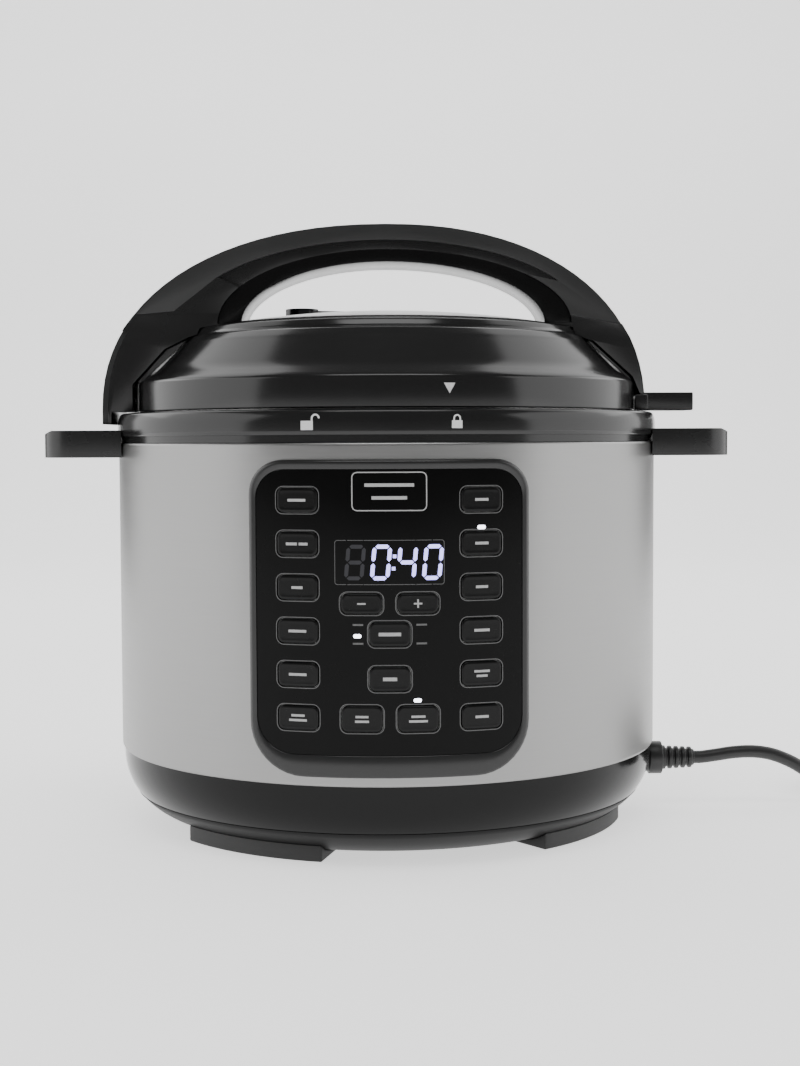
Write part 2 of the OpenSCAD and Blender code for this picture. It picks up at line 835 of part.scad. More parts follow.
// Right leg: below the step where the grip widens
module right_leg_region() {
    polygon([
        [60, leg_skirt_z - 20], [60, liner_base_z], [88, lid_top_z - 2.5],
        [arch_right - 14, lid_top_z - 6.9], [arch_right + 20, lid_top_z - 10.5],
        [arch_right + 20, leg_skirt_z - 20]
    ]);
}

// Facet between the liner and the top cover
module crescent_region() {
    intersection() {
        polygon(oval(parting_left, parting_right, liner_base_z, parting_rise, 2));
        polygon([[-crescent_end, liner_base_z], [-crescent_end, arch_top_z],
            [crescent_end + 1.7, arch_top_z], [crescent_end + 1.7, lid_top_z + 13.8],
            [64, lid_top_z + 18], [40, liner_base_z]]);
    }
}

// Outline of both legs, down their outer sides and back over the lid
module leg_mask() {
    polygon([
        [-arch_left - 1, leg_foot_z], [-lid_r - leg_clear, leg_foot_z],
        [-lid_r - leg_clear, ledge_z - 1.6], [-ledge_r + 12.7, ledge_z + 15.5],
        [-ledge_r + 24.5, cone_top_z + 4.1], [-60, lid_top_z - 2.5],
        [-60, arch_top_z + 1], [-arch_left - 1, arch_top_z + 1]
    ]);
    polygon([
        [arch_right + 1, fin_z + fin_t - 1.3], [lid_r + leg_clear, fin_z + fin_t - 1.3],
        [lid_r - 3, ledge_z + 1.5], [cone_top_r - 1, cone_top_z + 1.5], [60, lid_top_z - 2.5],
        [60, arch_top_z + 1], [arch_right + 1, arch_top_z + 1]
    ]);
    translate([-60, liner_base_z]) square([120, arch_rise + 10]);
}

// The skirt of the left leg hangs outside the rim
module leg_skirt() {
    polygon([
        [-arch_left + end_cover_t + 0.1, leg_skirt_z], [-skirt_in_x, leg_skirt_z],
        [-skirt_in_x, leg_foot_z + 2], [-arch_left + end_cover_t + 0.1, leg_foot_z + 2]
    ]);
}

module end_strip() {
    intersection() {
        difference() {
            union() {
                arch_region();
                translate([-arch_left, leg_skirt_z]) square([20, arch_base_z - leg_skirt_z + 1]);
            }
            translate([end_cover_t, 0]) union() {
                arch_region();
                translate([-arch_left, leg_skirt_z - 1])
                    square([40, arch_base_z - leg_skirt_z + 2]);
            }
        }
        translate([-arch_left - 5, leg_skirt_z])
            square([40, end_cover_top_z - leg_skirt_z]);
    }
}

// Slopes that join the legs' faces to the narrower grip above them
module leg_facets() {
    grip_y = arch_depth / 2;
    leg_y = leg_depth / 2;
    for (side = [0, 1], start = [-arch_left - 1, 60])
        mirror([0, side, 0]) translate([start, 0, 0]) rotate([90, 0, 90])
            linear_extrude(height = arch_left - 59)
                polygon([[grip_y, lid_top_z + 20], [leg_y + 1, lid_top_z + 20],
                    [leg_y + 1, lid_top_z - 14], [leg_y, lid_top_z - 14], [grip_y, lid_top_z - 2]]);
}

module handle_body() {
    color(satin_black) difference() {
        union() {
            upright(leg_depth) difference() {
                intersection() {
                    union() {
                        arch_region();
                        translate([-arch_left, leg_skirt_z])
                            square([20, arch_base_z - leg_skirt_z + 1]);
                        translate([arch_right - 20, leg_foot_z])
                            square([20, arch_base_z - leg_foot_z + 1]);
                    }
                    union() {
                        intersection() {
                            leg_mask();
                            union() {
                                cheek_region();
                                right_leg_region();
                            }
                        }
                        leg_skirt();
                    }
                }
                liner_region();
                end_strip();
            }
            upright(arch_depth - 5) difference() {
                crescent_region();
                liner_region();
            }
            upright(34) difference() {
                intersection() {
                    arch_region();
                    union() {
                        translate([-lid_r - 2, ledge_z]) square([52, 29]);
                        translate([lid_r - 44, ledge_z]) square([46, 27]);
                    }
                    union() {
                        cheek_region();
                        right_leg_region();
                    }
                }
                liner_region();
                end_strip();
            }
        }
        leg_facets();
        lid_envelope(0.3);
        at_handle_screws() translate([0, 0, -10]) cylinder(r = screw_r + screw_fit, h = lid_top_z);
        at_end_screw() cylinder(r = 1.3, h = 12);
    }
}

module handle_cover() {
    color(satin_black) upright(arch_depth) difference() {
        arch_region();
        cheek_region();
        right_leg_region();
        crescent_region();
        liner_region();
        translate([-61, 0]) square([122, liner_base_z + eps]);
    }
}

module handle_liner() {
    color(gloss_black) difference() {
        upright(arch_depth - 2) difference() {
            liner_region();
            gap_region();
        }
        lid_envelope(0.3);
    }
}

module at_end_screw() {
    translate([-arch_left + 10, 0, rim_top_z + 3.2]) rotate([0, -90, 0]) children();
}

module handle_end_cover() {
    color(rubber_grey) difference() {
        upright(leg_depth - 8) end_strip();
        at_end_screw() cylinder(r = 1.3, h = 14);
    }
}

// Tab that stands the lid upright in a side handle's slot
module lid_stand_fin() {
    block_w = leg_depth + 4;
    color(satin_black) {
        translate([arch_right + 0.1, -fin_w / 2, fin_z])
            cube([fin_reach - arch_right - 0.1, fin_w, fin_t]);
        difference() {
            translate([lid_r - 5, -block_w / 2, fin_z])
                cube([arch_right + 1.2 - lid_r + 5, block_w, fin_t - 1.4]);
            cylinder(r = lid_r + leg_clear + 0.2, h = 300);
        }
    }
}

// Screws that hold the handle's legs, driven up from inside the cover
module at_handle_screws() {
    for (side = [-1, 1], y = [-10, 10])
        translate([side * (cone_top_r - 1.5), y, 0]) children();
}

module lid_screws() {
    leg_screw_z = cone_top_z - 10;
    color(steel) {
        at_handle_screws() translate([0, 0, leg_screw_z]) {
            cylinder(r = screw_r, h = 16);
            translate([0, 0, -2]) cylinder(r = 3.6, h = 2 + eps);
        }
        at_lid_bosses() translate([0, 0, lid_disc_z - 2]) {
            cylinder(r = 3.6, h = 2 - 0.02);
            cylinder(r = screw_r, h = 14);
        }
        at_end_screw() {
            cylinder(r = 1.25, h = 10.2);
            translate([0, 0, 10.15]) cylinder(r = 2.2, h = 2);
        }
    }
}

// ---------- control panel ----------

module frame_outline() {
    panel_outline(panel_w, panel_h, frame_top_corner, frame_low_corner);
}

module lens_outline(grow) {
    translate([0, -grow]) panel_outline(lens_w + 2 * grow, lens_h + 2 * grow,
        lens_top_corner + grow, lens_low_corner + grow);
}

module panel_frame() {
    color(gloss_black) difference() {
        on_front(frame_in_r, frame_out_r, panel_low_z) frame_outline();
        on_front(lens_in_r - 0.05, frame_out_r + 1, lens_low_z) lens_outline(0.15);
        through_front(lens_low_z) lens_outline(-frame_lip);
    }
}

// Places each key: angle round the body, height, width and height of its face
KEYS = concat(
    [for (i = [0:5]) [-key_side_angle, key_top_z - i * key_pitch, key_w, key_h]],
    [for (i = [0:5]) [key_side_angle, key_top_z - i * key_pitch, key_w, key_h]],
    [[-middle_key_angle, adjust_key_z, middle_key_w, adjust_key_h],
        [middle_key_angle, adjust_key_z, middle_key_w, adjust_key_h],
        [0, pressure_key_z, middle_key_w, key_h], [0, temperature_key_z, middle_key_w, key_h],
        [-middle_key_angle, lower_key_z, middle_key_w, lower_key_h],
        [middle_key_angle, lower_key_z, middle_key_w, lower_key_h]]
);

module panel_lens() {
    color(gloss_black) difference() {
        on_front(lens_in_r, lens_out_r, lens_low_z) lens_outline(0);
        for (k = KEYS)
            rotate([0, 0, k[0]]) through_front(k[1])
                key_outline(k[2] + 2 * key_clearance, k[3] + 2 * key_clearance);
    }
}

// Distance from the axis to the switch top along a key's own direction
function switch_r(angle) = (board_y + board_t + switch_h) / cos(angle);

module key(k) {
    stem_end = switch_r(k[0]) + stem_r * abs(tan(k[0])) + key_travel + 0.2;
    color(gloss_black) rotate([0, 0, k[0]]) {
        on_front(key_back_r, key_out_r, k[1]) key_outline(k[2], k[3]);
        translate([0, -key_back_r - 0.4, k[1]]) rotate([-90, 0, 0])
            cylinder(r = stem_r, h = key_back_r + 0.4 - stem_end);
    }
}

// Circuit board behind the panel, with a push switch under each key
module control_board() {
    color(board_green) difference() {
        translate([-board_w / 2, -board_y - board_t, lens_low_z + 6])
            cube([board_w, board_t, lens_h - 12]);
        for (s = [-1, 1], z = [lens_low_z + 10, lens_top_z - 10])
            translate([s * (board_w / 2 - 4), -board_y - 5, z]) rotate([-90, 0, 0])
                cylinder(r = 1.6, h = 10);
    }
    color(satin_black) for (k = KEYS)
        translate([switch_r(k[0]) * sin(k[0]) - 3, -board_y - board_t - switch_h, k[1] - 3])
            cube([6, switch_h, 6]);
}

module display_module() {
    front_y = sqrt(pow(key_back_r, 2) - pow(window_w / 2 + 1, 2)) - 0.5;
    color("dimgray") translate([-window_w / 2, -front_y, window_z - window_h / 2])
        cube([window_w, front_y - board_y - board_t, window_h]);
}

// Light guides behind the lens, one over each side key and beside the middle keys
LIGHTS = concat(
    [for (s = [-1, 1], i = [0:5]) [s * key_side_angle, key_top_z - i * key_pitch + 7]],
    [for (s = [-1, 1], z = [-0.8, 0.8]) [s * 6, pressure_key_z + 4 * z]],
    [[0, temperature_key_z + 7], [-middle_key_angle, lower_key_z + 7.6],
        [middle_key_angle, lower_key_z + 7.6]]
);

module indicator_lights() {
    color("lavender") for (p = LIGHTS)
        rotate([0, 0, p[0]]) on_front(key_back_r, lens_in_r - 0.05, p[1])
            translate([-light_w / 2, -light_h / 2]) square([light_w, light_h]);
}

// ---------- mains lead ----------

module strain_relief() {
    collar_x = body_r + 6;
    rib_count = 5;
    rib_step = (relief_end_x - collar_x) / rib_count;
    color(satin_black) translate([0, 0, relief_z]) rotate([0, 90, 0]) {
        translate([0, 0, relief_x - 3]) cylinder(r = relief_neck_r, h = 8);
        translate([0, 0, bowl_r + 0.3]) cylinder(r = 8.2, h = collar_x - bowl_r - 0.3);
        translate([0, 0, bowl_r - 6]) cylinder(r = relief_neck_r, h = 10);
        for (i = [0:rib_count - 1])
            translate([0, 0, collar_x + i * rib_step - eps]) {
                cylinder(r = 4.7 - 0.15 * i, h = rib_step + 2 * eps);
                cylinder(r = 6 - 0.18 * i, h = rib_step * 0.6);
            }
    }
}

module power_cord() {
    free = [for (p = cord_lie) p + [relief_end_x + eps, 0, 0]];
    tail = [for (p = tail_lie) p + [plug_x, coil_y, 0]];
    color(satin_black) {
        tube(smooth_route(free, ring_step), cord_r, cord_sides);
        tube(smooth_route(tail, 2), cord_r, cord_sides);
    }
}

module cord_coil() {
    color(satin_black) translate([coil_x, coil_y, 0]) ring(coil_out_r, coil_in_r, coil_h);
}

// Band that holds the coil's turns together
module cord_tie() {
    band_t = 1;
    band_w = 8;
    side = coil_out_r - coil_in_r;
    color(rubber_grey)
        translate([coil_x - band_w / 2, coil_y + coil_in_r - band_t, 0]) difference() {
            cube([band_w, side + 2 * band_t, coil_h + band_t]);
            translate([-1, band_t, band_t]) cube([band_w + 2, side, coil_h - band_t]);
        }
}

// Three-pin plug, lying on its flat side
module plug() {
    relief_l = 22;
    body_l = 36;
    body_w = 35;
    body_t = 16.8;
    pin_step = 9.5;
    earth_shift = 3;
    color(satin_black) translate([plug_x, plug_y, plug_z]) rotate([-90, 0, 0]) {
        cylinder(r1 = cord_r + 0.8, r2 = 6.4, h = relief_l);
        translate([0, 0, relief_l - eps]) linear_extrude(height = body_l) {
            square([body_w - body_t, body_t], center = true);
            for (s = [-1, 1]) translate([s * (body_w - body_t) / 2, 0]) circle(body_t / 2);
        }
    }
    color("gold") translate([plug_x, plug_y + relief_l + body_l - eps, plug_z])
        for (i = [-1:1])
            translate([i * pin_step, 0, i == 0 ? earth_shift : 0]) rotate([-90, 0, 0])
                cylinder(r = pin_r, h = pin_l);
}

outer_shell();
base_housing();
bottom_cover();
feet();
top_rim();
outer_pot();
side_handle_left();
side_handle_right();
body_screws();
heating_plate();
heating_element();
thermostat_plunger();
thermostat_spring();
pressure_switch();
thermal_fuse();
power_board();
inner_pot();
sealing_ring();
inner_lid();
ring_rack();
steam_shield();
lid_cover();
steam_pipe();
release_valve();
float_valve();
float_seal();
handle_body();
handle_cover();
handle_liner();
handle_end_cover();
lid_stand_fin();
lid_screws();
panel_frame();
panel_lens();
control_board();
display_module();
indicator_lights();
key(KEYS[0]);  // key_left_1
key(KEYS[1]);  // key_left_2
key(KEYS[2]);  // key_left_3
key(KEYS[3]);  // key_left_4
key(KEYS[4]);  // key_left_5
key(KEYS[5]);  // key_left_6
key(KEYS[6]);  // key_right_1
key(KEYS[7]);  // key_right_2
key(KEYS[8]);  // key_right_3
key(KEYS[9]);  // key_right_4
key(KEYS[10]);  // key_right_5
key(KEYS[11]);  // key_right_6
key(KEYS[12]);  // key_minus
key(KEYS[13]);  // key_plus
key(KEYS[14]);  // key_pressure
key(KEYS[15]);  // key_temperature
key(KEYS[16]);  // key_delay
key(KEYS[17]);  // key_start
strain_relief();
power_cord();
cord_coil();
cord_tie();
plug();
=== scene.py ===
"""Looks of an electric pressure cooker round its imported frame. Metres, +Z up, -Y is the front."""

import math

import bmesh
import bpy
from mathutils import Matrix, Vector


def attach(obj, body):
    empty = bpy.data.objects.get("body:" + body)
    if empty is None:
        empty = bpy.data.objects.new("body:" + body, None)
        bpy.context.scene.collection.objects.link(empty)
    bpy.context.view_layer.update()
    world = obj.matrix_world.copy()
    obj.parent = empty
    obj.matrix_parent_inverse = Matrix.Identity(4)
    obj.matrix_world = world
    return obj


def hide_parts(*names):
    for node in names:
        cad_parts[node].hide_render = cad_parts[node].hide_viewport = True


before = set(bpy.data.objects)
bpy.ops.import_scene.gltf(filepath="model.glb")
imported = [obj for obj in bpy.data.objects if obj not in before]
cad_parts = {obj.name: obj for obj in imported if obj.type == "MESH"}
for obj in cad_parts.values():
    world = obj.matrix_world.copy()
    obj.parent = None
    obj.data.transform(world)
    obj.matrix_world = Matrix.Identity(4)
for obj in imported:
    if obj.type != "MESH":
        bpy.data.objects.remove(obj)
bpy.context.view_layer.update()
scene = bpy.context.scene
MM = 0.001

# ---------------------------------------------------------------- camera
# Stands level with the upper body, a little to the left of the panel's middle, and looks
# slightly down.
camera_data = bpy.data.cameras.new("camera")
camera_data.lens = 56.65
camera = bpy.data.objects.new("camera", camera_data)
scene.collection.objects.link(camera)
camera_yaw = Matrix.Rotation(math.radians(-0.84), 4, "Z")
camera_pitch = Matrix.Rotation(math.radians(90 - 3.13), 4, "X")
camera_roll = Matrix.Rotation(math.radians(-0.24), 4, "Z")
camera.matrix_world = (
    Matrix.Translation((-5.9 * MM, -841 * MM, 184.8 * MM)) @ camera_yaw @ camera_pitch @ camera_roll
)
scene.camera = camera


# ---------------------------------------------------------------- mains lead
# A round rubber lead. It leaves the strain relief level, sinks to the table and is wound into
# a tied coil, and its end goes into the plug.
class Wire:
    """A shader socket that carries a number. Arithmetic on it adds math nodes."""

    def __init__(self, finish, socket):
        self.finish = finish
        self.socket = socket

    def math(self, operation, *others):
        node = self.finish.tree.nodes.new("ShaderNodeMath")
        node.operation = operation
        for slot, value in zip(node.inputs, (self, *others)):
            self.finish.feed(slot, value)
        return Wire(self.finish, node.outputs[0])

    def __add__(self, other):
        return self.math("ADD", other)

    def __mul__(self, other):
        return self.math("MULTIPLY", other)

    def __rsub__(self, other):
        return self.math("MULTIPLY_ADD", -1.0, other)

    __radd__ = __add__
    __rmul__ = __mul__


class Finish:
    """A material that is being built round its main shader."""

    def __init__(self, name, **constants):
        self.material = bpy.data.materials.new(name)
        self.material.use_nodes = True
        self.tree = self.material.node_tree
        self.shader = self.tree.nodes["Principled BSDF"]
        for key, value in constants.items():
            self.shader.inputs[key.replace("_", " ")].default_value = value

    def feed(self, slot, value):
        if isinstance(value, Wire):
            self.tree.links.new(value.socket, slot)
        else:
            slot.default_value = value

    def node(self, kind, settings, values, output=0):
        node = self.tree.nodes.new(kind)
        for key, value in settings.items():
            setattr(node, key, value)
        for key, value in values.items():
            self.feed(node.inputs[key], value)
        return Wire(self, node.outputs[output])

    def place(self, stretch=(1, 1, 1)):
        """Object coordinates, stretched along each axis."""
        spot = self.node("ShaderNodeTexCoord", {}, {}, "Object")
        return self.node("ShaderNodeVectorMath", {"operation": "MULTIPLY"}, {0: spot, 1: stretch})

    def noise(self, scale, detail=3, stretch=(1, 1, 1), spot=None):
        where = spot or self.place(stretch)
        return self.node(
            "ShaderNodeTexNoise", {}, {"Vector": where, "Scale": scale, "Detail": detail}
        )

    def around(self, turn_scale, height_scale):
        """Coordinates that run round the body's axis and up it."""
        spot = self.node("ShaderNodeTexCoord", {}, {}, "Object")
        parts = self.node("ShaderNodeSeparateXYZ", {}, {0: spot})
        node = parts.socket.node
        x, y, z = (Wire(self, node.outputs[i]) for i in range(3))
        turn = self.node("ShaderNodeMath", {"operation": "ARCTAN2"}, {0: y, 1: x})
        radius = (x * x + y * y).math("SQRT")
        return self.node(
            "ShaderNodeCombineXYZ",
            {},
            {0: turn * turn_scale, 1: z * height_scale, 2: radius * height_scale},
        )

    def mix(self, factor, first, second):
        settings = {"data_type": "RGBA"}
        return self.node("ShaderNodeMix", settings, {0: factor, 6: first, 7: second}, 2)

    def bump(self, height, depth):
        values = {"Height": height, "Distance": depth, "Strength": 1.0}
        self.feed(self.shader.inputs["Normal"], self.node("ShaderNodeBump", {}, values))

    def colour(self, value):
        self.feed(self.shader.inputs["Base Color"], value)

    def roughness(self, value):
        self.feed(self.shader.inputs["Roughness"], value)


def shade(grey, tint=(1, 1, 1)):
    return (grey * tint[0], grey * tint[1], grey * tint[2], 1)


def moulded(name, grey, rough, grain=9000, depth=0.01, haze=0.05, tint=(1, 1, 1), **constants):
    """Moulded plastic or rubber: fine grain, cloudy sheen and a trace of handling."""
    finish = Finish(name, **constants)
    cloud = finish.noise(22, 4)
    fine = finish.noise(grain, 2)
    smear = finish.noise(90, 5, (1, 1, 2.5))
    finish.colour(finish.mix(cloud, shade(grey * 0.82, tint), shade(grey * 1.2, tint)))
    finish.roughness(rough - haze + haze * 1.2 * cloud + haze * 0.8 * smear)
    finish.bump(fine + 0.3 * smear, depth * MM)
    return finish.material


def linked(name, mesh, material, body, angle=32):
    """Puts a finished mesh into the scene on a body of the frame."""
    mesh.materials.append(material)
    mesh.shade_smooth()
    mesh.set_sharp_from_angle(angle=math.radians(angle))
    thing = bpy.data.objects.new(name, mesh)
    scene.collection.objects.link(thing)
    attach(thing, body)
    return thing


def made(name, bm, material, body, angle=32):
    """Turns a bmesh into a piece of the object."""
    bmesh.ops.recalc_face_normals(bm, faces=bm.faces)
    mesh = bpy.data.meshes.new(name)
    bm.to_mesh(mesh)
    bm.free()
    return linked(name, mesh, material, body, angle)


def from_frame(name, node, material, body, bevel, segments=3, sharp=38, angle=32):
    """A copy of a node of the frame with its edges rounded. The copy stands for the node."""
    bm = bmesh.new()
    bm.from_mesh(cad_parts[node].data)
    bmesh.ops.remove_doubles(bm, verts=bm.verts, dist=0.002 * MM)
    bmesh.ops.dissolve_limit(
        bm, angle_limit=math.radians(0.4), verts=bm.verts, edges=bm.edges, delimit=set()
    )
    limit = math.radians(sharp)
    edges = [e for e in bm.edges if len(e.link_faces) == 2 and e.calc_face_angle(0) > limit]
    bmesh.ops.bevel(
        bm,
        geom=edges,
        offset=bevel * MM,
        segments=segments,
        profile=0.5,
        affect="EDGES",
        clamp_overlap=True,
        material=-1,
    )
    thing = made(name, bm, material, body, angle)
    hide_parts(node)
    return thing


cord_d = 6.5 * MM
cord_rubber = moulded("cord_rubber", 0.013, 0.42, grain=5000, depth=0.02)
boot_end_x = 154.7
cord_lie = [
    (0, 0, 24.4), (4, 0, 24.4), (11, 0, 25.3), (20, 0, 26.6), (30, 0, 27), (40, 0, 25.5), (50, 0, 21.5),
    (59, 0, 16), (68, 0, 10), (78, 0, 5.6), (89, 0, 3.6), (100, 0, 3.3), (110, 0, 3.25),
]
tail_lie = [(0, 0, 9.75), (0, 9, 9.6), (0, 19, 9.1), (0, 29, 8.6)]
coil_middle = (boot_end_x + 110, 39.25)
free_route = [Vector(p) + Vector((boot_end_x, 0, 0)) for p in cord_lie]
tail_route = [Vector(p) + Vector((coil_middle[0] + 39.25, coil_middle[1], 0)) for p in tail_lie]
coil_turns = 3.25
coil_steps = 40
track_radii = (39.25, 32.75, 32.75, 39.25)
track_heights = (3.25, 3.25, 9.75, 9.75)
shift_starts = (0.83, 0.75, 0.67, 1)
shift_length = 0.08


def smooth_step(t):
    t = min(max(t, 0), 1)
    return t * t * (3 - 2 * t)


def through(points, steps):
    """A smooth curve through a route, without its last point."""
    last = len(points) - 1
    for i in range(last):
        a, b, c, d = (points[max(min(i + k, last), 0)] for k in (-1, 0, 1, 2))
        for step in range(steps):
            t = step / steps
            yield 0.5 * (
                2 * b + (c - a) * t + (2 * a - 5 * b + 4 * c - d) * t * t
                + (3 * b - a - 3 * c + d) * t**3
            )


def coil_point(turn):
    """The lead's middle in the coil. Turns change track one after another, so none cross."""
    lap = min(int(turn), 3)
    share = smooth_step((turn - lap - shift_starts[lap]) / shift_length)
    after = min(lap + 1, 3)
    radius = track_radii[lap] * (1 - share) + track_radii[after] * share
    height = track_heights[lap] * (1 - share) + track_heights[after] * share
    angle = 2 * math.pi * turn - math.pi / 2
    x = coil_middle[0] + radius * math.cos(angle)
    y = coil_middle[1] + radius * math.sin(angle)
    return Vector((x, y, height))


coil_path = [coil_point(i / coil_steps) for i in range(int(coil_turns * coil_steps))]
cord_path = [*through(free_route, 4), *coil_path, *through(tail_route, 3), tail_route[-1]]
cord_curve = bpy.data.curves.new("mains_lead", "CURVE")
cord_curve.dimensions = "3D"
cord_curve.bevel_depth = cord_d / 2
cord_curve.bevel_resolution = 6
cord_curve.use_fill_caps = True
spline = cord_curve.splines.new("POLY")
spline.points.add(len(cord_path) - 1)
for spot, point in zip(spline.points, cord_path):
    spot.co = (*(point * MM), 1)
cord_curve.materials.append(cord_rubber)
lead = bpy.data.objects.new("mains_lead", cord_curve)
scene.collection.objects.link(lead)
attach(lead, "cooker")
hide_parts("power_cord", "cord_coil")

# ---------------------------------------------------------------- plug
# Moulded on the lead's end, with its own ribbed relief and three brass pins.
plug_front_y = 124 * MM
plug = from_frame("mains_plug", "plug", cord_rubber, "cooker", 1.0)
pin_brass = Finish("pin_brass", Metallic=1.0)
pin_wear = pin_brass.noise(700, 4)
pin_brass.colour(pin_brass.mix(pin_wear, (0.72, 0.55, 0.28, 1), (0.85, 0.68, 0.36, 1)))
pin_brass.roughness(0.22 + 0.16 * pin_wear)
plug.data.materials.append(pin_brass.material)
for face in plug.data.polygons:
    if face.center.y > plug_front_y:
        face.material_index = 1

# ---------------------------------------------------------------- cord tie
# A nylon band round the coil's far side.
tie_nylon = moulded("tie_nylon", 0.05, 0.5, grain=3000, depth=0.02)
tie = from_frame("coil_tie", "cord_tie", tie_nylon, "cooker", 0.3, 2)
lead_length = sum((b - a).length for a, b in zip(cord_path, cord_path[1:])) * MM

# ---------------------------------------------------------------- strain relief
# A ribbed rubber boot pushed through the base from inside. It grips the lead.
relief_rubber = moulded("relief_rubber", 0.012, 0.38, grain=4000, depth=0.02)
from_frame("relief_boot", "strain_relief", relief_rubber, "cooker", 0.6)

# ---------------------------------------------------------------- base
# Gloss black bowl that carries everything. A seam separates the glossy wall from the satin
# underside, which has cooling slots, screw holes and an opening under the service cover.
body_r = 132.2
bowl_r = body_r - 1
bowl_corner = 37
bowl_corner_z = 35.9
bowl_low_z = 2.1
bowl_power = 2.19
bowl_wall = 2.6
seam_z = 14.5


def lathe(points, steps=224):
    """A closed outline turned round the body's axis. Points are (radius, height) in mm."""
    bm = bmesh.new()
    ring = [bm.verts.new((r * MM, 0, z * MM)) for r, z in points]
    edges = [bm.edges.new(pair) for pair in zip(ring, ring[1:])]
    if points[0][0] or points[-1][0]:
        edges.append(bm.edges.new((ring[-1], ring[0])))
    bmesh.ops.spin(
        bm,
        geom=[*ring, *edges],
        cent=(0, 0, 0),
        axis=(0, 0, 1),
        angle=2 * math.pi,
        steps=steps,
        use_merge=True,
    )
    bmesh.ops.remove_doubles(bm, verts=bm.verts, dist=0.001 * MM)
    return bm


def softened(points, steps=4):
    """An outline whose corners are rounded. Each point is (x, z) or (x, z, rounding)."""
    outline = []
    count = len(points)
    for i, (x, z, *rounding) in enumerate(points):
        corner = Vector((x, z))
        before = Vector(points[i - 1][:2]) - corner
        after = Vector(points[(i + 1) % count][:2]) - corner
        reach = min(rounding[0] if rounding else 0, before.length * 0.48, after.length * 0.48)
        if reach == 0:
            outline.append((x, z))
            continue
        start = corner + before.normalized() * reach
        end = corner + after.normalized() * reach
        for step in range(steps + 1):
            t = step / steps
            spot = start * (1 - t) ** 2 + corner * 2 * t * (1 - t) + end * t * t
            outline.append((spot.x, spot.y))
    return outline


def carved(bm, *cutters):
    """Cuts other closed forms out of one, and gives back a new mesh."""
    meshes = []
    for shape in (bm, *cutters):
        bmesh.ops.recalc_face_normals(shape, faces=shape.faces)
        mesh = bpy.data.meshes.new("carving")
        shape.to_mesh(mesh)
        shape.free()
        meshes.append(mesh)
    block = bpy.data.objects.new("carving", meshes[0])
    scene.collection.objects.link(block)
    tools = []
    for mesh in meshes[1:]:
        tool = bpy.data.objects.new("carving_tool", mesh)
        scene.collection.objects.link(tool)
        change = block.modifiers.new("cut", "BOOLEAN")
        change.operation = "DIFFERENCE"
        change.solver = "EXACT"
        change.object = tool
        tools.append(tool)
    graph = bpy.context.evaluated_depsgraph_get()
    result = bmesh.new()
    result.from_mesh(block.evaluated_get(graph).to_mesh())
    for thing in (block, *tools):
        bpy.data.objects.remove(thing)
    return result


def bowl_point(turn, inset=0):
    c = math.cos(turn) ** (2 / bowl_power)
    s = math.sin(turn) ** (2 / bowl_power)
    radius = bowl_r - bowl_corner + (bowl_corner - inset) * c
    return radius, bowl_corner_z - (bowl_corner_z - bowl_low_z - inset) * s


quarter = [math.pi / 2 * i / 32 for i in range(33)]
outside = []
for turn in quarter:
    r, z = bowl_point(turn)
    if outside and z < seam_z <= outside[-1][1]:
        outside += [(r + 1.4, seam_z + 0.5), (r + 0.2, seam_z + 0.3), (r + 0.1, seam_z - 0.4)]
    outside.append((r, z))
inside = [bowl_point(turn, bowl_wall) for turn in reversed(quarter)]
opening_r = 50
recess_r = 56.4
bowl_outline = [
    (bowl_r - bowl_wall, 41), (bowl_r - 0.6, 41), (bowl_r, 40.4), *outside,
    (recess_r, bowl_low_z), (recess_r, bowl_low_z + 1.3), (opening_r, bowl_low_z + 1.3),
    (opening_r, bowl_low_z + bowl_wall), *inside,
]
slots = bmesh.new()
for i in range(24):
    turn = Matrix.Rotation(math.radians(15 * i + 7.5), 4, "Z")
    place = turn @ Matrix.Translation((66.5 * MM, 0, 3 * MM))
    bmesh.ops.create_cube(slots, size=MM, matrix=place @ Matrix.Diagonal((9, 3, 8, 1)))
for i in range(4):
    turn = Matrix.Rotation(math.radians(45 + 90 * i), 4, "Z")
    place = turn @ Matrix.Translation((78 * MM, 0, 3 * MM))
    bmesh.ops.create_cone(
        slots, cap_ends=True, segments=40, radius1=4.4 * MM, radius2=4.4 * MM, depth=8 * MM,
        matrix=place,
    )
base_plastic = Finish("base_plastic", Specular_IOR_Level=0.2)
height = base_plastic.node("ShaderNodeSeparateXYZ", {}, {0: base_plastic.place()}, 2)
below_seam = (seam_z * MM + 0.0002 - height) * 5000
underside = below_seam.math("MINIMUM", 1).math("MAXIMUM", 0)
cloud = base_plastic.noise(18, 4)
dust = base_plastic.noise(2600, 2)
base_plastic.colour(base_plastic.mix(underside, shade(0.004), shade(0.01)))
base_plastic.roughness(0.09 + 0.05 * cloud + 0.33 * underside + 0.04 * dust)
base_plastic.bump(dust * (0.15 + underside), 0.012 * MM)
base = made("base_bowl", carved(lathe(bowl_outline), slots), base_plastic.material, "cooker")
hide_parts("base_housing")

# ---------------------------------------------------------------- service cover
# Flat satin disc set flush in the underside, held by hidden clips.
under_plastic = moulded("under_plastic", 0.016, 0.5, grain=2500, depth=0.03)
from_frame("service_cover", "bottom_cover", under_plastic, "cooker", 0.3, 2)

# ---------------------------------------------------------------- feet
# Four curved rubber pads, glued round the underside.
foot_rubber = moulded("foot_rubber", 0.016, 0.6, grain=1800, depth=0.05)
from_frame("foot_pads", "feet", foot_rubber, "cooker", 0.9)

# ---------------------------------------------------------------- steel shell
# Rolled sheet with hemmed edges, brushed round the body. It is clamped between base and rim.
shell_low_z = 37
shell_top_z = 184.3


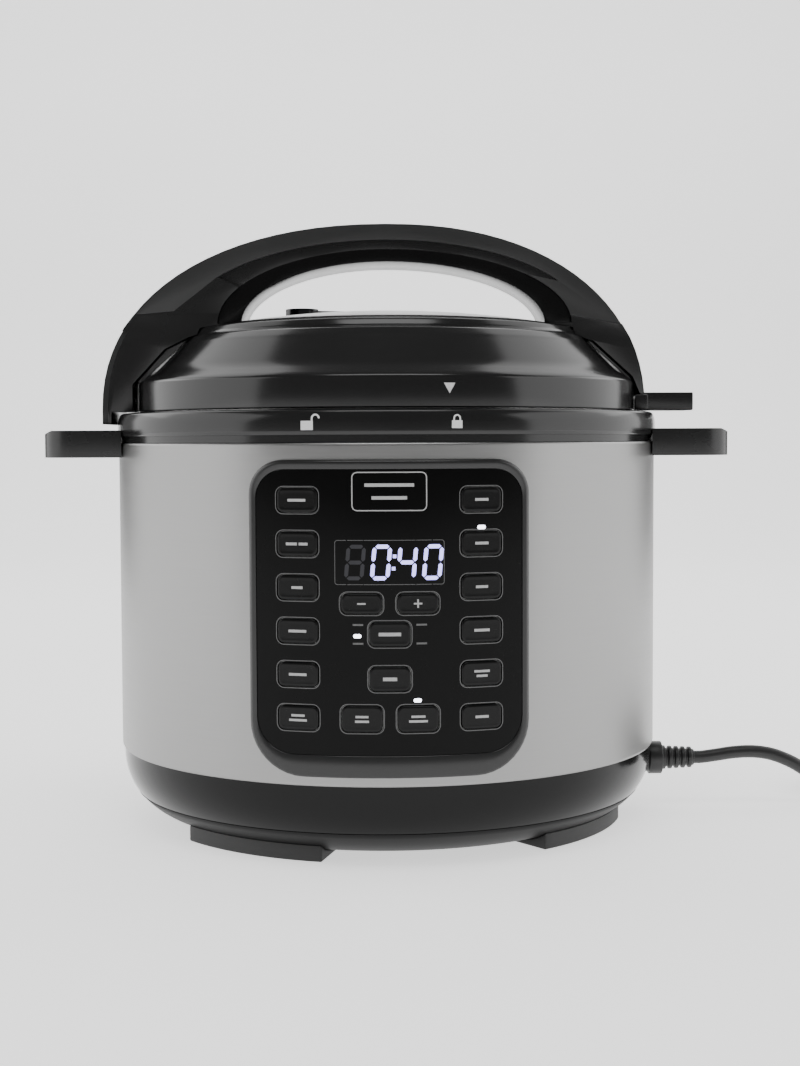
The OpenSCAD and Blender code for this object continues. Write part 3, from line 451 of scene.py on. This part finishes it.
def brushed(name, light, rough, lines=2600, spread=7, depth=0.004, tint=(1, 0.995, 0.985)):
    """Steel with fine lines that run round the body's axis."""
    finish = Finish(name, Metallic=1.0)
    fine = finish.noise(1, 3, spot=finish.around(spread, lines))
    broad = finish.noise(1, 4, spot=finish.around(2, 260))
    stain = finish.noise(14, 3)
    finish.colour(
        finish.mix(0.65 * fine + 0.35 * broad, shade(light * 0.86, tint), shade(light, tint))
    )
    finish.roughness(rough + 0.16 * fine + 0.05 * broad + 0.03 * stain)
    finish.bump(fine, depth * MM)
    return finish.material


shell_steel = brushed("shell_steel", 0.33, 0.24)
shell_outline = softened(
    [
        (body_r - 2.4, shell_low_z + 0.4, 0.3), (body_r - 0.6, shell_low_z, 0.4),
        (body_r, shell_low_z + 0.9, 0.5), (body_r, shell_top_z - 0.8, 0.5),
        (body_r - 0.6, shell_top_z, 0.3), (body_r - 2.4, shell_top_z - 0.3, 0.3),
        (body_r - 0.8, shell_top_z - 1.6), (body_r - 0.8, shell_low_z + 1.6),
    ]
)
shell = made("steel_shell", lathe(shell_outline, 256), shell_steel, "cooker")
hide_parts("outer_shell")

# ---------------------------------------------------------------- top rim
# Gloss black ring over the shell's upper edge. A groove runs under its band, and the padlock
# marks are printed on it.
rim_z = 187.6
rim_top_z = 198.7
rim_r = body_r + 0.5
gloss_plastic = moulded(
    "gloss_plastic", 0.007, 0.17, grain=2600, depth=0.003, Specular_IOR_Level=0.5
)
rim_outline = softened(
    [
        (rim_r - 8.2, shell_top_z - 0.2), (rim_r - 1.7, shell_top_z + 0.1), (rim_r - 1.7, rim_z),
        (rim_r - 0.4, rim_z, 0.3), (rim_r, rim_z + 1.2, 0.6), (rim_r, rim_z + 7, 2),
        (rim_r - 1.2, rim_top_z - 0.6, 1.2), (rim_r - 3, rim_top_z, 0.8),
        (rim_r - 12.1, rim_top_z, 0.5), (rim_r - 12.1, rim_top_z - 2),
        (rim_r - 8.2, rim_top_z - 2),
    ]
)
rim = made("rim_ring", lathe(rim_outline, 256), gloss_plastic, "cooker")
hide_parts("top_rim")


def on_drum(u, z, radius, angle=0):
    """A point on an upright drum: u is measured across the view of the drum from its front."""
    spot = Vector((u, -math.sqrt(radius * radius - u * u), z))
    return Matrix.Rotation(math.radians(angle), 3, "Z") @ spot * MM


def add_patch(bm, points, radius, angle=0):
    bm.faces.new([bm.verts.new(on_drum(u, z, radius, angle)) for u, z in points])


def add_bar(bm, middle, size, radius, angle=0, slant=0):
    """A printed bar in narrow strips, so that it follows the drum."""
    (u, z), (w, h) = middle, size
    strips = max(1, round(w / 2))
    for i in range(strips):
        left = u - w / 2 + w * i / strips
        right = left + w / strips
        low, high = z - h / 2, z + h / 2
        lean = slant * h / 2
        add_patch(
            bm,
            [(left - lean, low), (right - lean, low), (right + lean, high), (left + lean, high)],
            radius,
            angle,
        )


def add_ring(bm, outer, inner, radius, angle=0):
    """A printed line between two outlines with the same number of points."""
    for i, (a, b) in enumerate(zip(outer, inner)):
        add_patch(bm, [outer[i - 1], a, b, inner[i - 1]], radius, angle)


def add_padlock(bm, u, z, w, radius, angle, swing):
    """A padlock with its shackle shut or swung out to one side."""
    h = w * 0.72
    add_bar(bm, (u, z - h / 2), (w, h), radius, angle)
    middle = u + swing * w * 0.7
    arc = [math.pi * i / 12 for i in range(13)]
    for a, b in zip(arc, arc[1:]):
        ends = [(w * 0.36, a), (w * 0.22, a), (w * 0.22, b), (w * 0.36, b)]
        points = [(middle + r * math.cos(t), z + w * 0.2 + r * math.sin(t)) for r, t in ends]
        add_patch(bm, points, radius, angle)
    for side in (-1, 1):
        if side * swing <= 0:
            add_bar(bm, (middle + side * w * 0.29, z + w * 0.1), (w * 0.14, w * 0.2), radius, angle)


mark_paint = Finish("mark_paint", Roughness=0.5)
paint_wear = mark_paint.noise(1400, 4)
mark_paint.colour(mark_paint.mix(paint_wear, shade(0.62), shade(0.8)))
mark_paint.bump(paint_wear, 0.01 * MM)
print_gap = 0.05
padlock_z = 193.6
rim_marks = bmesh.new()
add_padlock(rim_marks, 0, padlock_z, 5.4, rim_r + print_gap, -15.2, 1)
add_padlock(rim_marks, 0, padlock_z, 4.6, rim_r + print_gap, 12.6, 0)
made("rim_marks", rim_marks, mark_paint.material, "cooker")

# ---------------------------------------------------------------- side handles
# Satin black grips screwed to the shell from inside, each with a slot for the lid's fin.
grip_plastic = moulded(
    "grip_plastic", 0.011, 0.27, grain=3800, depth=0.012, Specular_IOR_Level=0.4
)
for side in ("left", "right"):
    grip = "side_handle_" + side
    from_frame("side_grip_" + side, grip, grip_plastic, "cooker", 1.1, 4)

# ---------------------------------------------------------------- panel frame
# Dark bezel bent round the shell. It rises to a ridge and falls to the lens.
panel_w = 120.6
panel_h = 135.6
panel_low_z = 41.5
frame_top_round = 14.6
frame_low_round = 23
lens_w = 114
lens_h = 121.6
lens_low_z = 51.3
lens_top_round = 12
lens_low_round = 15.5


def rounded_box(w, h, low_z, top_round, low_round, grow=0, steps=10, edge_steps=(30, 30)):
    """Points round an upright rectangle with its own roundings at the top and the bottom."""
    w, h, low_z = w + 2 * grow, h + 2 * grow, low_z - grow
    top, low = top_round + grow, low_round + grow
    corners = [
        (w / 2 - low, low_z + low, low, -90), (w / 2 - top, low_z + h - top, top, 0),
        (top - w / 2, low_z + h - top, top, 90), (low - w / 2, low_z + low, low, 180),
    ]
    points = []
    for i, (u, z, r, first) in enumerate(corners):
        angles = [math.radians(first + 90 * k / steps) for k in range(steps + 1)]
        points += [(u + r * math.cos(a), z + r * math.sin(a)) for a in angles]
        u2, z2, r2, first2 = corners[(i + 1) % 4]
        a2 = math.radians(first2)
        end = (u2 + r2 * math.cos(a2), z2 + r2 * math.sin(a2))
        start = points[-1]
        count = edge_steps[(i + 1) % 2]
        for k in range(1, count):
            t = k / count
            points.append((start[0] + (end[0] - start[0]) * t, start[1] + (end[1] - start[1]) * t))
    return points


def loft_on_drum(bm, outlines, angle=0, closed=False):
    """Joins outlines of the same number of points, each at its own radius."""
    loops = [
        [bm.verts.new(on_drum(u, z, radius, angle)) for u, z in points]
        for points, radius in outlines
    ]
    pairs = list(zip(loops, loops[1:] + loops[:1] if closed else loops[1:]))
    for first, second in pairs:
        for i in range(len(first)):
            bm.faces.new((first[i - 1], first[i], second[i], second[i - 1]))
    return loops


def frame_outline(grow):
    return rounded_box(panel_w, panel_h, panel_low_z, frame_top_round, frame_low_round, grow)


def lens_outline(grow):
    return rounded_box(lens_w, lens_h, lens_low_z, lens_top_round, lens_low_round, grow)


bezel_form = bmesh.new()
loft_on_drum(
    bezel_form,
    [
        (frame_outline(0), body_r + 0.02), (frame_outline(0), body_r + 1.6),
        (frame_outline(-0.25), body_r + 2.3), (frame_outline(-0.8), body_r + 2.75),
        (frame_outline(-1.5), body_r + 2.9), (lens_outline(0.9), body_r + 2.55),
        (lens_outline(0.4), body_r + 2.4), (lens_outline(0.1), body_r + 2.0),
        (lens_outline(0.1), body_r + 0.8), (lens_outline(-3), body_r + 0.6),
        (lens_outline(-3), body_r + 0.02),
    ],
    closed=True,
)
bezel_plastic = moulded(
    "bezel_plastic", 0.016, 0.2, grain=3000, depth=0.006, Specular_IOR_Level=0.45
)
bezel = made("panel_bezel", bezel_form, bezel_plastic, "cooker", 50)
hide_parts("panel_frame")

# ---------------------------------------------------------------- panel lens
# Gloss black curved sheet in the bezel, with an opening for each key.
lens_r = body_r + 2.2
key_gap = 0.35
key_round = 2.6
key_top_z = 160.0
key_pitch = 18.6
side_turn = math.degrees(math.asin(39.4 / (body_r + 2.7)))
middle_turn = math.degrees(math.asin(12 / (body_r + 2.7)))
side_size = (18, 10.3)
lower_key_z = key_top_z - 5 * key_pitch
keys = {}
for row in range(6):
    height_now = key_top_z - row * key_pitch
    keys[f"key_left_{row + 1}"] = (-side_turn, height_now, side_size)
    keys[f"key_right_{row + 1}"] = (side_turn, height_now, side_size)
adjust_key_z = key_top_z - 43.8
pressure_key_z = key_top_z - 56.8
keys["key_minus"] = (-middle_turn, adjust_key_z, (17.5, 8.6))
keys["key_plus"] = (middle_turn, adjust_key_z, (17.5, 8.6))
keys["key_pressure"] = (0, pressure_key_z, (17.5, 10.3))
keys["key_temperature"] = (0, key_top_z - 75.9, (17.5, 10.3))
keys["key_delay"] = (-middle_turn, lower_key_z, (17.5, 11.1))
keys["key_start"] = (middle_turn, lower_key_z, (17.5, 11.1))


def key_outline(z, size, grow):
    return rounded_box(
        size[0], size[1], z - size[1] / 2, key_round, key_round, grow, 6, (4, 8)
    )


def edge_height(u, w, rounding):
    """How far the outline's edge has moved in from the end of a straight side at u."""
    over = max(0, abs(u) - (w / 2 - rounding))
    return rounding - math.sqrt(max(0, rounding * rounding - over * over))


turns = [math.radians(90 * k / 10) for k in range(10, 0, -1)]
straight_end = lens_w / 2 - lens_low_round
left_columns = [-straight_end - lens_low_round * math.sin(t) for t in turns]
straight = [-straight_end * (1 - k / 30) for k in range(31)]
columns = left_columns + straight
columns += [-u for u in reversed(columns[:-1])]
sheet = bmesh.new()
rows = {}
for name, radius in (("front", lens_r), ("back", lens_r - 1.4)):
    low = [lens_low_z + edge_height(u, lens_w, lens_low_round) for u in columns]
    high = [lens_low_z + lens_h - edge_height(u, lens_w, lens_top_round) for u in columns]
    rows[name, "low"] = [sheet.verts.new(on_drum(u, z, radius)) for u, z in zip(columns, low)]
    rows[name, "high"] = [sheet.verts.new(on_drum(u, z, radius)) for u, z in zip(columns, high)]
strips = [
    (rows["front", "low"], rows["front", "high"]), (rows["front", "high"], rows["back", "high"]),
    (rows["back", "high"], rows["back", "low"]), (rows["back", "low"], rows["front", "low"]),
]
for first, second in strips:
    for i in range(len(columns) - 1):
        sheet.faces.new((first[i], first[i + 1], second[i + 1], second[i]))
end_corners = (("front", "low"), ("front", "high"), ("back", "high"), ("back", "low"))
for end in (0, -1):
    sheet.faces.new([rows[name][end] for name in end_corners])
holes = bmesh.new()
for turn, z, size in keys.values():
    outline = key_outline(z, size, key_gap)
    spin = Matrix.Rotation(math.radians(turn), 3, "Z")
    loops = [
        [holes.verts.new(spin @ Vector((u, -y, h)) * MM) for u, h in outline] for y in (120, 150)
    ]
    holes.faces.new(loops[0])
    holes.faces.new(loops[1])
    for i in range(len(outline)):
        holes.faces.new((loops[0][i - 1], loops[0][i], loops[1][i], loops[1][i - 1]))
lens_plastic = Finish("lens_plastic", Specular_IOR_Level=0.1)
lens_cloud = lens_plastic.noise(30, 4)
lens_dust = lens_plastic.noise(5200, 2)
lens_plastic.colour(lens_plastic.mix(lens_cloud, shade(0.002), shade(0.004)))
lens_plastic.roughness(0.07 + 0.04 * lens_cloud + 0.03 * lens_dust)
lens_plastic.bump(lens_dust, 0.0015 * MM)
lens = made("panel_lens_sheet", carved(sheet, holes), lens_plastic.material, "cooker")
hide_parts("panel_lens")

# ---------------------------------------------------------------- keys
# Separate raised keys with rounded edges. Each slides in towards the body's axis, and bears
# two printed bars, or a sign, in place of words.
key_plastic = moulded(
    "key_plastic", 0.005, 0.2, grain=2800, depth=0.008, Specular_IOR_Level=0.18
)
key_levels = [
    (0, -1.2, 1), (0, -0.1, 1), (-0.1, 0.15, 1), (-0.35, 0.38, 1), (-0.8, 0.5, 1), (-1.3, 0.45, 1),
    (-1.3, 0.45, 0.7), (-1.3, 0.45, 0.35),
]
bar_rows = {
    "key_left_1": [(8, 1)], "key_left_2": [(5, 1), (4, 1)], "key_left_3": [(5, 1)],
    "key_left_4": [(8, 1)], "key_left_5": [(8, 1)], "key_left_6": [(6, 2), (8, 2)],
    "key_right_1": [(6, 1)], "key_right_2": [(6, 1)], "key_right_3": [(5.5, 1)],
    "key_right_4": [(7, 1)], "key_right_5": [(7, 2), (5, 2)], "key_right_6": [(6, 1)],
    "key_pressure": [(9.5, 1)], "key_temperature": [(6, 1)], "key_delay": [(5.5, 2), (6, 2)],
    "key_start": [(6, 2), (8, 2)],
}
key_print = Finish("key_print", Roughness=0.45)
print_wear = key_print.noise(1800, 4)
key_print.colour(key_print.mix(print_wear, shade(0.36), shade(0.48)))
key_print.bump(print_wear, 0.006 * MM)
for name, (turn, z, size) in keys.items():
    key = bmesh.new()
    outlines = []
    for grow, lift, share in key_levels:
        points = [(u * share, z + (h - z) * share) for u, h in key_outline(z, size, grow)]
        outlines.append((points, lens_r + lift))
    loops = loft_on_drum(key, outlines, turn)
    tip = key.verts.new(on_drum(0, z, lens_r + 0.45, turn))
    for i in range(len(loops[-1])):
        key.faces.new((loops[-1][i - 1], loops[-1][i], tip))
    key.faces.new(loops[0])
    cap = made(name + "_cap", key, key_plastic, name + "_body", 60)
    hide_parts(name)
    marks = bmesh.new()
    face_r = lens_r + 0.45 + print_gap
    if name in ("key_minus", "key_plus"):
        add_bar(marks, (0, z), (3.6, 0.7), face_r, turn)
    if name == "key_plus":
        add_bar(marks, (0, z), (0.7, 3.6), face_r + 0.01, turn)
    lines = bar_rows.get(name, [])
    tall = 1.5 if name in ("key_pressure", "key_temperature") else 1.15
    if lines and lines[0][1] == 1:
        total = sum(width for width, row in lines) + 0.8 * (len(lines) - 1)
        left = -total / 2
        for width, row in lines:
            add_bar(marks, (left + width / 2, z), (width, tall), face_r, turn)
            left += width + 0.8
    else:
        for k, (width, row) in enumerate(lines):
            add_bar(marks, (0, z + 1.0 - 2.0 * k), (width, 1.0), face_r, turn)
    made(name + "_print", marks, key_print.material, name + "_body")

# ---------------------------------------------------------------- panel print and painted key-rim highlights
# Thin grey rings on the lens round the keys are painted highlights for light caught by the keys' rims;
# a thin grey line round the display is printed on the lens, with a plain plate mark.
# One grey serves both the printed lines and the painted key-rim highlights.
print_and_rim_highlight = Finish("print_and_rim_highlight", Roughness=0.3)
line_wear = print_and_rim_highlight.noise(900, 4)
print_and_rim_highlight.colour(print_and_rim_highlight.mix(line_wear, shade(0.07), shade(0.14)))
lens_print_and_rim_highlights = bmesh.new()
# Painted highlight: a grey ring on the lens round each key stands for light caught by the key's rim.
for turn, z, size in keys.values():
    outer = key_outline(z, size, key_gap + 0.55)
    inner = key_outline(z, size, key_gap + 0.2)
    add_ring(lens_print_and_rim_highlights, outer, inner, lens_r + print_gap, turn)
window_z = key_top_z - 26.3
window_w = 46.6
window_h = 19
window_outer, window_inner = (
    rounded_box(window_w, window_h, window_z - window_h / 2, 1.2, 1.2, grow, 4, (6, 20))
    for grow in (0, -0.25)
)
add_ring(lens_print_and_rim_highlights, window_outer, window_inner, lens_r + print_gap)
for side in (-1, 1):
    for step in (-1, 1):
        spot = (side * 13.5, pressure_key_z + 4 * step)
        add_bar(lens_print_and_rim_highlights, spot, (4.5, 0.8), lens_r + print_gap)
made("panel_print_and_rim_highlights", lens_print_and_rim_highlights, print_and_rim_highlight.material, "cooker")
plate = bmesh.new()
plate_low_z = 155.4
plate_outer, plate_inner = (
    rounded_box(32, 16.6, plate_low_z, 2.4, 2.4, grow, 5, (6, 14)) for grow in (0, -0.45)
)
add_ring(plate, plate_outer, plate_inner, lens_r + print_gap)
for k, width in enumerate((21, 15)):
    add_bar(plate, (0, plate_low_z + 11 - 5.4 * k), (width, 1.4), lens_r + print_gap)
made("panel_plate", plate, key_print.material, "cooker")

# ---------------------------------------------------------------- display
# Seven-bar digits that shine through the lens, and the unlit bars beside them.
digit_w = 6.6
digit_h = 13.4
bar_t = 1.7
digit_slant = 0.09
digit_steps = (-14.6, -3.6, 7.4, 18.4)
lit_bars = {"0": "abcdef", "4": "bcfg", "8": "abcdefg"}
bar_places = {
    "a": (0, 1, True), "g": (0, 0, True), "d": (0, -1, True), "f": (-1, 0.5, False),
    "b": (1, 0.5, False), "e": (-1, -0.5, False), "c": (1, -0.5, False),
}


def add_digit_bar(bm, u, letter, radius):
    """A bar with pointed ends, leaning with its digit."""
    side, level, flat = bar_places[letter]
    half_w, half_h = digit_w / 2, digit_h / 2
    middle = (side * half_w, level * half_h)
    reach = (half_w if flat else half_h / 2) - 0.35
    t = bar_t / 2
    shape = [
        (-reach, 0), (-reach + t, -t), (reach - t, -t), (reach, 0), (reach - t, t), (t - reach, t)
    ]
    points = []
    for along, across in shape:
        du, dz = (along, across) if flat else (across, along)
        dz += middle[1]
        points.append((u + middle[0] + du + digit_slant * dz, window_z + dz))
    add_patch(bm, points, radius)


digits = bmesh.new()
unlit = bmesh.new()
for u, sign in zip(digit_steps[1:], "040"):
    for letter in lit_bars[sign]:
        add_digit_bar(digits, u, letter, lens_r + print_gap)
for letter in lit_bars["8"]:
    add_digit_bar(unlit, digit_steps[0], letter, lens_r + print_gap)
for level in (-2.6, 2.6):
    add_bar(digits, (1.9 + digit_slant * level, window_z + level), (1.5, 1.5), lens_r + print_gap)
glow = Finish("digit_glow", Emission_Strength=2.4, Roughness=0.4)
glow_cloud = glow.noise(260, 2)
glow_colour = glow.mix(glow_cloud, (0.36, 0.34, 1, 1), (0.55, 0.53, 1, 1))
glow.colour(glow_colour)
glow.feed(glow.shader.inputs["Emission Color"], glow_colour)
made("display_digits", digits, glow.material, "cooker")
dim = Finish("digit_dim", Roughness=0.3)
dim_cloud = dim.noise(240, 2)
dim.colour(dim.mix(dim_cloud, shade(0.012, (1, 1, 1.3)), shade(0.02, (1, 1, 1.3))))
made("display_unlit", unlit, dim.material, "cooker")

# ---------------------------------------------------------------- indicator lights
# Small light guides behind the lens. Three of them are lit.
light_forms = bmesh.new()
light_places = (
    (side_turn, key_top_z - 11.8, 3.7), (-5.9, key_top_z - 57.6, 3.4), (5, 74.9, 3.4)
)
for turn, z, width in light_places:
    outline = rounded_box(width, 1.7, z - 0.85, 0.84, 0.84, 0, 6, (1, 3))
    front = loft_on_drum(light_forms, [(outline, lens_r - 0.3), (outline, lens_r + 0.08)], turn)
    for loop in front:
        light_forms.faces.new(loop)
lamp = Finish("lamp_glow", Emission_Strength=6.0, Roughness=0.35)
lamp_cloud = lamp.noise(400, 2)
lamp_colour = lamp.mix(lamp_cloud, (0.8, 0.82, 1, 1), (0.95, 0.96, 1, 1))
lamp.colour(lamp_colour)
lamp.feed(lamp.shader.inputs["Emission Color"], lamp_colour)
lights = made("status_lights", light_forms, lamp.material, "cooker", 80)
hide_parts("indicator_lights")

# ---------------------------------------------------------------- lid cover
# Gloss black cover screwed to the steel lid: an upright band, a ledge, a cone and a low dome.
lid_r = 122.3
lid_z = 199.3
lid_top_z = 248.5
dome_r = 93.1
dome_drop = 8.8
dome_sphere_r = (dome_r**2 + dome_drop**2) / dome_drop / 2
lid_wall = 2.6


def dome_z(r):
    return lid_top_z - dome_sphere_r + math.sqrt(dome_sphere_r**2 - r * r)


dome_outside = [(r, dome_z(r)) for r in (88, 80, 70, 60, 50, 40, 30, 20, 10, 0)]
lid_outline = softened(
    [
        (lid_r - lid_wall, lid_z, 0.4), (lid_r, lid_z, 0.6), (lid_r, 213.2, 1.2),
        (120.3, 214.7, 0.8), (113.6, 219, 3), (101.6, 231.3, 1), (100.6, 232.4, 1),
        (97, 235.5, 1.8), (94.9, 235.9, 0.5), (94.6, 236.9, 0.4), (dome_r - 0.4, 239.6, 0.8),
        (dome_r - 2, dome_z(dome_r - 2) - 0.1, 0.3), (89.6, dome_z(89.6) - 0.35, 0.3),
    ]
)[:-1]
lid_inside = [(r, z - lid_wall) for r, z in reversed(dome_outside)]
lid_outline += dome_outside + lid_inside + [(97, 231), (111, 218), (lid_r - lid_wall, 211)]
ports = bmesh.new()
for x, y, r in ((-43, 27, 4.5), (12, 62, 3.6)):
    bmesh.ops.create_cone(
        ports, cap_ends=True, segments=48, radius1=r * MM, radius2=r * MM, depth=60 * MM,
        matrix=Matrix.Translation((x * MM, y * MM, 240 * MM)),
    )
lid = made(
    "lid_shell", carved(lathe(lid_outline, 256), ports), gloss_plastic, "lid", 24
)
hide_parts("lid_cover")
lid_marks = bmesh.new()
add_patch(
    lid_marks, [(-2.5, 209.8), (0, 205.3), (2.5, 209.8)], lid_r + print_gap, 12.4
)
made("lid_marks", lid_marks, mark_paint.material, "lid")

# ---------------------------------------------------------------- lid handle
# Arched grip in five mouldings: two legs with a facet along the arch, a top cover, a glossy
# liner round the finger gap, an end cover on the left and a fin on the right.
handle_plastic = moulded(
    "handle_plastic", 0.012, 0.24, grain=7000, depth=0.004, Specular_IOR_Level=0.45
)
cover_plastic = moulded(
    "cover_plastic", 0.026, 0.34, grain=6000, depth=0.006, Specular_IOR_Level=0.45
)
liner_plastic = moulded(
    "liner_plastic", 0.004, 0.2, grain=4000, depth=0.003, Specular_IOR_Level=0.2
)
from_frame("handle_legs", "handle_body", handle_plastic, "lid", 1.0, 3)
from_frame("handle_top", "handle_cover", cover_plastic, "lid", 2.2, 4)
from_frame("handle_inner_liner", "handle_liner", liner_plastic, "lid", 1.2, 4)
# Painted light: the end cover takes the matte top cover's lighter grey, and on this part that grey
# stands for the left soft box lighting the handle's left face.
from_frame("handle_end", "handle_end_cover", cover_plastic, "lid", 0.5, 3)
from_frame("stand_fin", "lid_stand_fin", grip_plastic, "lid", 0.7, 3)

# ---------------------------------------------------------------- valves
# The turning steam release weight with its lever, and the red float pin behind it.
from_frame("valve_lever", "release_valve", gloss_plastic, "release_valve", 0.8, 3)
float_plastic = moulded("float_plastic", 0.42, 0.3, tint=(1, 0.05, 0.06))
from_frame("float_pin", "float_valve", float_plastic, "float_valve", 0.4, 2)

# ---------------------------------------------------------------- pots, heater and electronics
# Steel pots, cast heating plate and the boards. They keep the frame's own meshes, because
# only their finish is missing.
pot_steel = brushed("pot_steel", 0.66, 0.2, lines=1800, spread=5)
pressed_steel = brushed("pressed_steel", 0.6, 0.3, lines=900, spread=9, depth=0.008)
cast_plate = brushed("cast_plate", 0.62, 0.36, lines=700, spread=12, depth=0.01)
screw_steel = brushed("screw_steel", 0.55, 0.28, lines=3000, spread=30)
sheath = brushed("sheath_steel", 0.32, 0.45, lines=500, spread=20, depth=0.01)
silicone = moulded("silicone", 0.6, 0.5, grain=1500, depth=0.02, tint=(1, 0.99, 0.95))
board_mask = moulded("board_mask", 0.2, 0.35, grain=1200, depth=0.02, tint=(0.25, 1, 0.4))
switch_body = moulded("switch_body", 0.6, 0.45, grain=1500, depth=0.02, tint=(1, 0.93, 0.78))
fuse_sleeve = moulded("fuse_sleeve", 0.5, 0.7, grain=2500, depth=0.06, tint=(1, 0.85, 0.4))
node_finishes = {
    "inner_pot": pot_steel, "outer_pot": pressed_steel, "heating_plate": cast_plate,
    "thermostat_plunger": cast_plate, "heating_element": sheath, "thermostat_spring": screw_steel,
    "pressure_switch": switch_body, "thermal_fuse": fuse_sleeve, "power_board": board_mask,
    "control_board": board_mask, "display_module": under_plastic, "body_screws": screw_steel,
    "lid_screws": screw_steel, "inner_lid": pot_steel, "ring_rack": screw_steel,
    "steam_shield": pressed_steel, "steam_pipe": pot_steel, "float_seal": silicone,
    "sealing_ring": silicone,
}
for node, finish in node_finishes.items():
    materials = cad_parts[node].data.materials
    if not materials:
        materials.append(None)
    for index in range(len(materials)):
        materials[index] = finish

# ---------------------------------------------------------------- studio
# A pale floor that curves up into a narrower backdrop. A wide soft box and a high one stand on
# each side, and a small one hangs overhead. Each point of the sweep is (half width, y, z).
sweep = bmesh.new()
bend = [math.radians(90 * i / 24) for i in range(25)]
sweep_profile = [(4, -3.0, 0.0)]
sweep_profile += [(1.1, 1.6 + 0.9 * math.sin(a), 0.9 - 0.9 * math.cos(a)) for a in bend]
sweep_profile += [(1.1, 2.5, 3.5)]
edges = [
    [sweep.verts.new((side * half_w, y, z)) for half_w, y, z in sweep_profile] for side in (-1, 1)
]
for i in range(len(sweep_profile) - 1):
    sweep.faces.new((edges[0][i], edges[1][i], edges[1][i + 1], edges[0][i + 1]))
paper = Finish("paper", Roughness=0.75, Emission_Strength=1.05)
paper_cloud = paper.noise(3, 3)
paper.colour(paper.mix(paper_cloud, shade(0.84), shade(0.88)))
mesh = bpy.data.meshes.new("backdrop")
bmesh.ops.recalc_face_normals(sweep, faces=sweep.faces)
sweep.to_mesh(mesh)
sweep.free()
mesh.materials.append(paper.material)
mesh.shade_smooth()
backdrop = bpy.data.objects.new("backdrop", mesh)
scene.collection.objects.link(backdrop)


def soft_box(name, place, target, size, power):
    """A rectangular light that faces a point."""
    light = bpy.data.lights.new(name, "AREA")
    light.shape = "RECTANGLE"
    light.size, light.size_y = size
    light.energy = power
    thing = bpy.data.objects.new(name, light)
    scene.collection.objects.link(thing)
    thing.location = place
    aim = Vector(target) - Vector(place)
    thing.rotation_euler = aim.to_track_quat("-Z", "Y").to_euler()


middle = (0, 0, 0.15)
for name, side in (("left", -1), ("right", 1)):
    soft_box(name + "_box", (side * 1.7, 0.1, 0.6), middle, (2.6, 1.5), 22)
    soft_box(name + "_high_box", (side * 1.1, 0.9, 1.3), middle, (1.5, 1.4), 9)
soft_box("top_box", (0, -0.7, 1.9), middle, (1.2, 0.8), 10)
world = bpy.data.worlds.new("studio")
world.use_nodes = True
world.node_tree.nodes["Background"].inputs["Color"].default_value = (1, 1, 1, 1)
world.node_tree.nodes["Background"].inputs["Strength"].default_value = 0.22
scene.world = world
